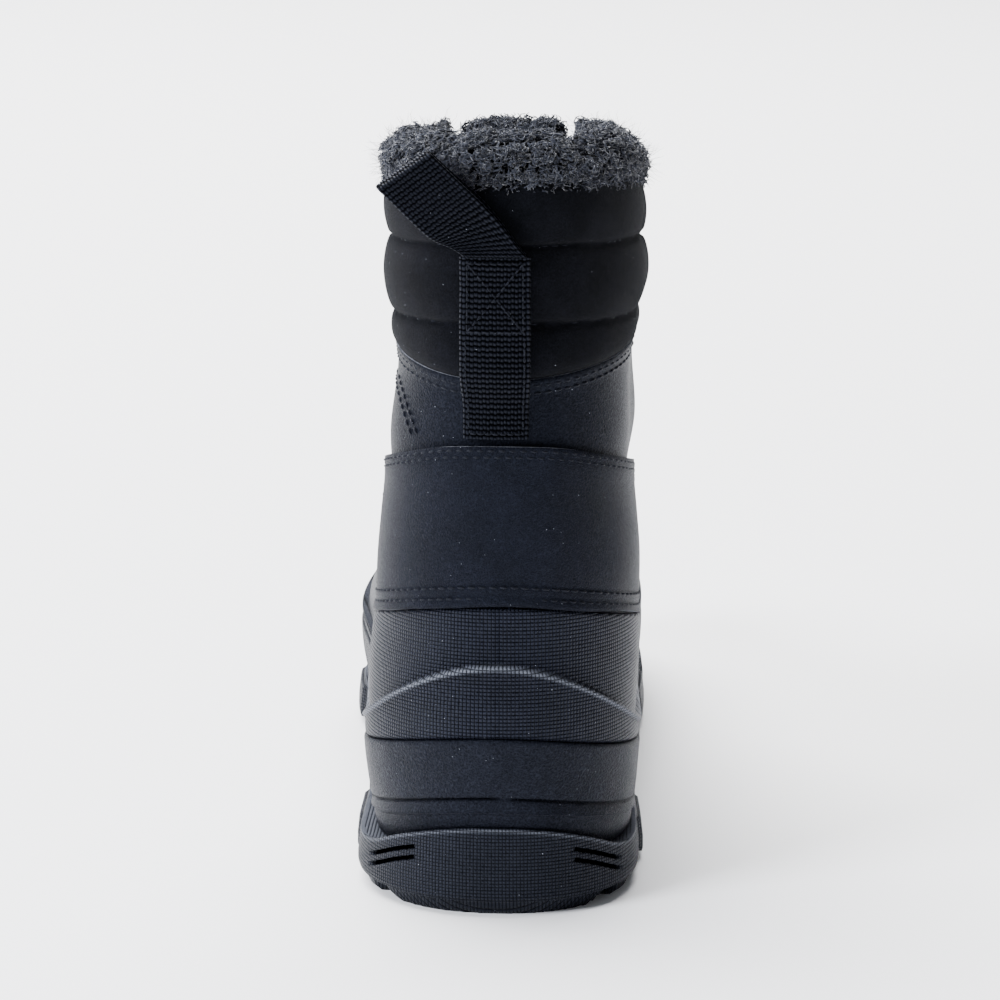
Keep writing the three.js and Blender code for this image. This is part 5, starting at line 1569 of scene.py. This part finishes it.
def roll_grid(place, columns, section, seed):
    """Closed rings of a roll along some columns, lumpy like felted pile, with rounded ends."""
    middle = section.mean(0)
    ends = np.minimum(np.arange(len(columns)), np.arange(len(columns))[::-1]) / 5
    size = np.sqrt(1 - (1 - np.clip(ends, 0, 1)) ** 2)[:, None]
    a, b = np.meshgrid(np.arange(len(section)), np.arange(len(columns)))
    size = size * (0.90 + 0.07 * lumps(a * 0.9, b * 0.9, seed))
    out = middle[0] + (section[:, 0] - middle[0]) * size
    up = middle[1] + (section[:, 1] - middle[1]) * size
    return place(np.broadcast_to(columns[:, None], out.shape), out, up)


def under_pile(section):
    """The section drawn in by the depth of the pile, where it faces outward or up."""
    middle = np.array([section[:, 0].mean(), section[:, 1].mean()])
    ray = section - middle
    length = np.linalg.norm(ray, axis=-1, keepdims=True)
    return middle + ray * (1 - PILE_DEPTH / np.maximum(length, PILE_DEPTH * 1.6))


collar_ends = [column_beside(THROAT_KEEP + 1, COLLAR_FRONT, side) for side in (-1, 1)]
collar_columns = np.linspace(*collar_ends, 170)
collar_section = round_section(ROLL_SECTION, 36)
tongue_columns = wrapped(np.linspace(
    column_beside(17.5, COLLAR_FRONT, 1), 2 + column_beside(17.5, COLLAR_FRONT, -1), 40))
tongue_section = round_section(TONGUE_SECTION, 24)
# Both rolls are near-black: painted shade deep in the pile under the curls
piece("collar_pile_ground", closed_body("collar_pile_ground", [
    (roll_grid(on_collar, collar_columns, under_pile(collar_section), 71), True)]),
    pile_ground, "fleece", "collar_fleece")
piece("tongue_pile_ground", closed_body("tongue_pile_ground", [
    (roll_grid(on_tongue, tongue_columns, under_pile(tongue_section), 73), True)]),
    pile_ground, "fleece", "tongue_fleece")


# %% Curls
def sown(random, count, place, columns, section, shares):
    """Roots and outward directions of curls, sown at random over part of a roll's section. Shares
    are the first and last place on the section, counted round it from 0 to 1."""
    column = np.interp(random.uniform(0, len(columns) - 1, count), np.arange(len(columns)),
                       np.unwrap(columns, period=2))
    column = wrapped(column)
    at = random.uniform(*shares, count) * len(section)
    looped = np.concatenate([section, section[:2]])
    point = np.stack([np.interp(at, np.arange(len(looped)), looped[:, k]) for k in range(2)], -1)
    outward = point - section.mean(0)
    outward /= np.linalg.norm(outward, axis=-1, keepdims=True)
    root = place(column, *(point - outward * PILE_DEPTH).T)
    tip = place(column, *(point + outward * 1.5).T)
    way = tip - root
    return root, way / np.linalg.norm(way, axis=-1, keepdims=True)


def gathered(random, root, way, tufts, pull):
    """Directions leaned towards the nearest tuft's tip. Every tuft is one of the roots."""
    chosen = random.choice(len(root), tufts, replace=False)
    nearest = np.concatenate([
        ((block[:, None] - root[chosen][None]) ** 2).sum(-1).argmin(1)
        for block in np.array_split(root, 10)])
    target = root[chosen][nearest] + way[chosen][nearest] * 6.5
    lean = target - root
    lean /= np.linalg.norm(lean, axis=-1, keepdims=True)
    mixed = way * (1 - pull) + lean * pull + random.normal(0, 0.22, root.shape)
    return mixed / np.linalg.norm(mixed, axis=-1, keepdims=True)


def corkscrews(random, root, way, length, coil, turns, thick, steps, droop=0.0):
    """Points of curls: three-sided tubes along helices that widen, then close at their tips."""
    count = len(root)
    t = np.linspace(0, 1, steps)[None, :, None]
    side = np.cross(way, random.normal(0, 1, root.shape))
    side /= np.linalg.norm(side, axis=-1, keepdims=True)
    other = np.cross(way, side)
    long = random.uniform(*length, (count, 1, 1))
    wide = random.uniform(*coil, (count, 1, 1)) * np.sin(np.pi * (0.12 + 0.72 * t))
    turn = random.uniform(*turns, (count, 1, 1)) * 2 * np.pi * t + random.uniform(0, 7, (count, 1, 1))
    turn = turn * random.choice([-1, 1], (count, 1, 1))
    path = (root[:, None] + way[:, None] * long * t
            + wide * (np.cos(turn) * side[:, None] + np.sin(turn) * other[:, None]))
    path[..., 2] -= droop * long[..., 0] * t[..., 0] ** 2
    along = np.gradient(path, axis=1)
    along /= np.linalg.norm(along, axis=-1, keepdims=True) + 1e-9
    first = np.cross(along, way[:, None] + 0.01)
    first /= np.linalg.norm(first, axis=-1, keepdims=True) + 1e-9
    second = np.cross(along, first)
    size = thick * random.uniform(0.7, 1.2, (count, 1, 1)) * (1 - 0.75 * t ** 2)
    corner = np.linspace(0, 2 * np.pi, 3, endpoint=False)[None, None, :, None]
    ring = np.cos(corner) * first[:, :, None] + np.sin(corner) * second[:, :, None]
    return path[:, :, None] + ring * size[:, :, None]


CURLS, FRINGE, TONGUE_CURLS, FIBRES = 3800, 900, 950, 1500
OUTSIDE, TOP_AND_INSIDE, FRINGE_BAND, ALL_ROUND = (0.0, 0.36), (0.30, 0.72), (0.0, 0.07), (0.0, 0.72)
CURL_THICKNESS, FIBRE_THICKNESS = 0.48, 0.06


def pile_piece(name, points):
    """Piece of joined tubes along given paths, as part of the fleece."""
    piece(name, beads(name, bent(points)), curled_pile, "fleece")


for name, shares, seed, drawn in (("outer", OUTSIDE, 81, 0.62), ("inner", TOP_AND_INSIDE, 83, 0.40)):
    random = np.random.default_rng(seed)
    root, way = sown(random, CURLS, on_collar, collar_columns, collar_section, shares)
    way = gathered(random, root, way, 240, drawn)
    pile_piece(f"collar_curls_{name}", corkscrews(
        random, root, way, (2.3, 4.6), (0.9, 1.9), (1.2, 2.2), CURL_THICKNESS, 7, droop=0.10))

# The fringe that hangs over the cuff
random = np.random.default_rng(87)
root, way = sown(random, FRINGE, on_collar, collar_columns, collar_section, FRINGE_BAND)
way = gathered(random, root, way * 0.6 - np.array([0, 0, 0.9]), 110, 0.35)
pile_piece("collar_fringe", corkscrews(
    random, root, way, (3.0, 5.4), (0.8, 1.5), (1.0, 1.8), CURL_THICKNESS - 0.02, 8))

random = np.random.default_rng(89)
root, way = sown(random, TONGUE_CURLS, on_tongue, tongue_columns, tongue_section, (0.0, 0.85))
way = gathered(random, root, way, 60, 0.35)
pile_piece("tongue_curls", corkscrews(
    random, root, way, (2.3, 4.6), (0.9, 1.8), (1.1, 2.0), CURL_THICKNESS - 0.02, 7))

# Single fibres that stand off the curls and catch the light
random = np.random.default_rng(91)
root, way = sown(random, FIBRES, on_collar, collar_columns, collar_section, ALL_ROUND)
way = way + random.normal(0, 0.55, way.shape)
way /= np.linalg.norm(way, axis=-1, keepdims=True)
pile_piece("collar_fibres", corkscrews(
    random, root, way, (6.0, 9.5), (0.5, 1.5), (0.3, 0.8), FIBRE_THICKNESS, 5, droop=0.1))
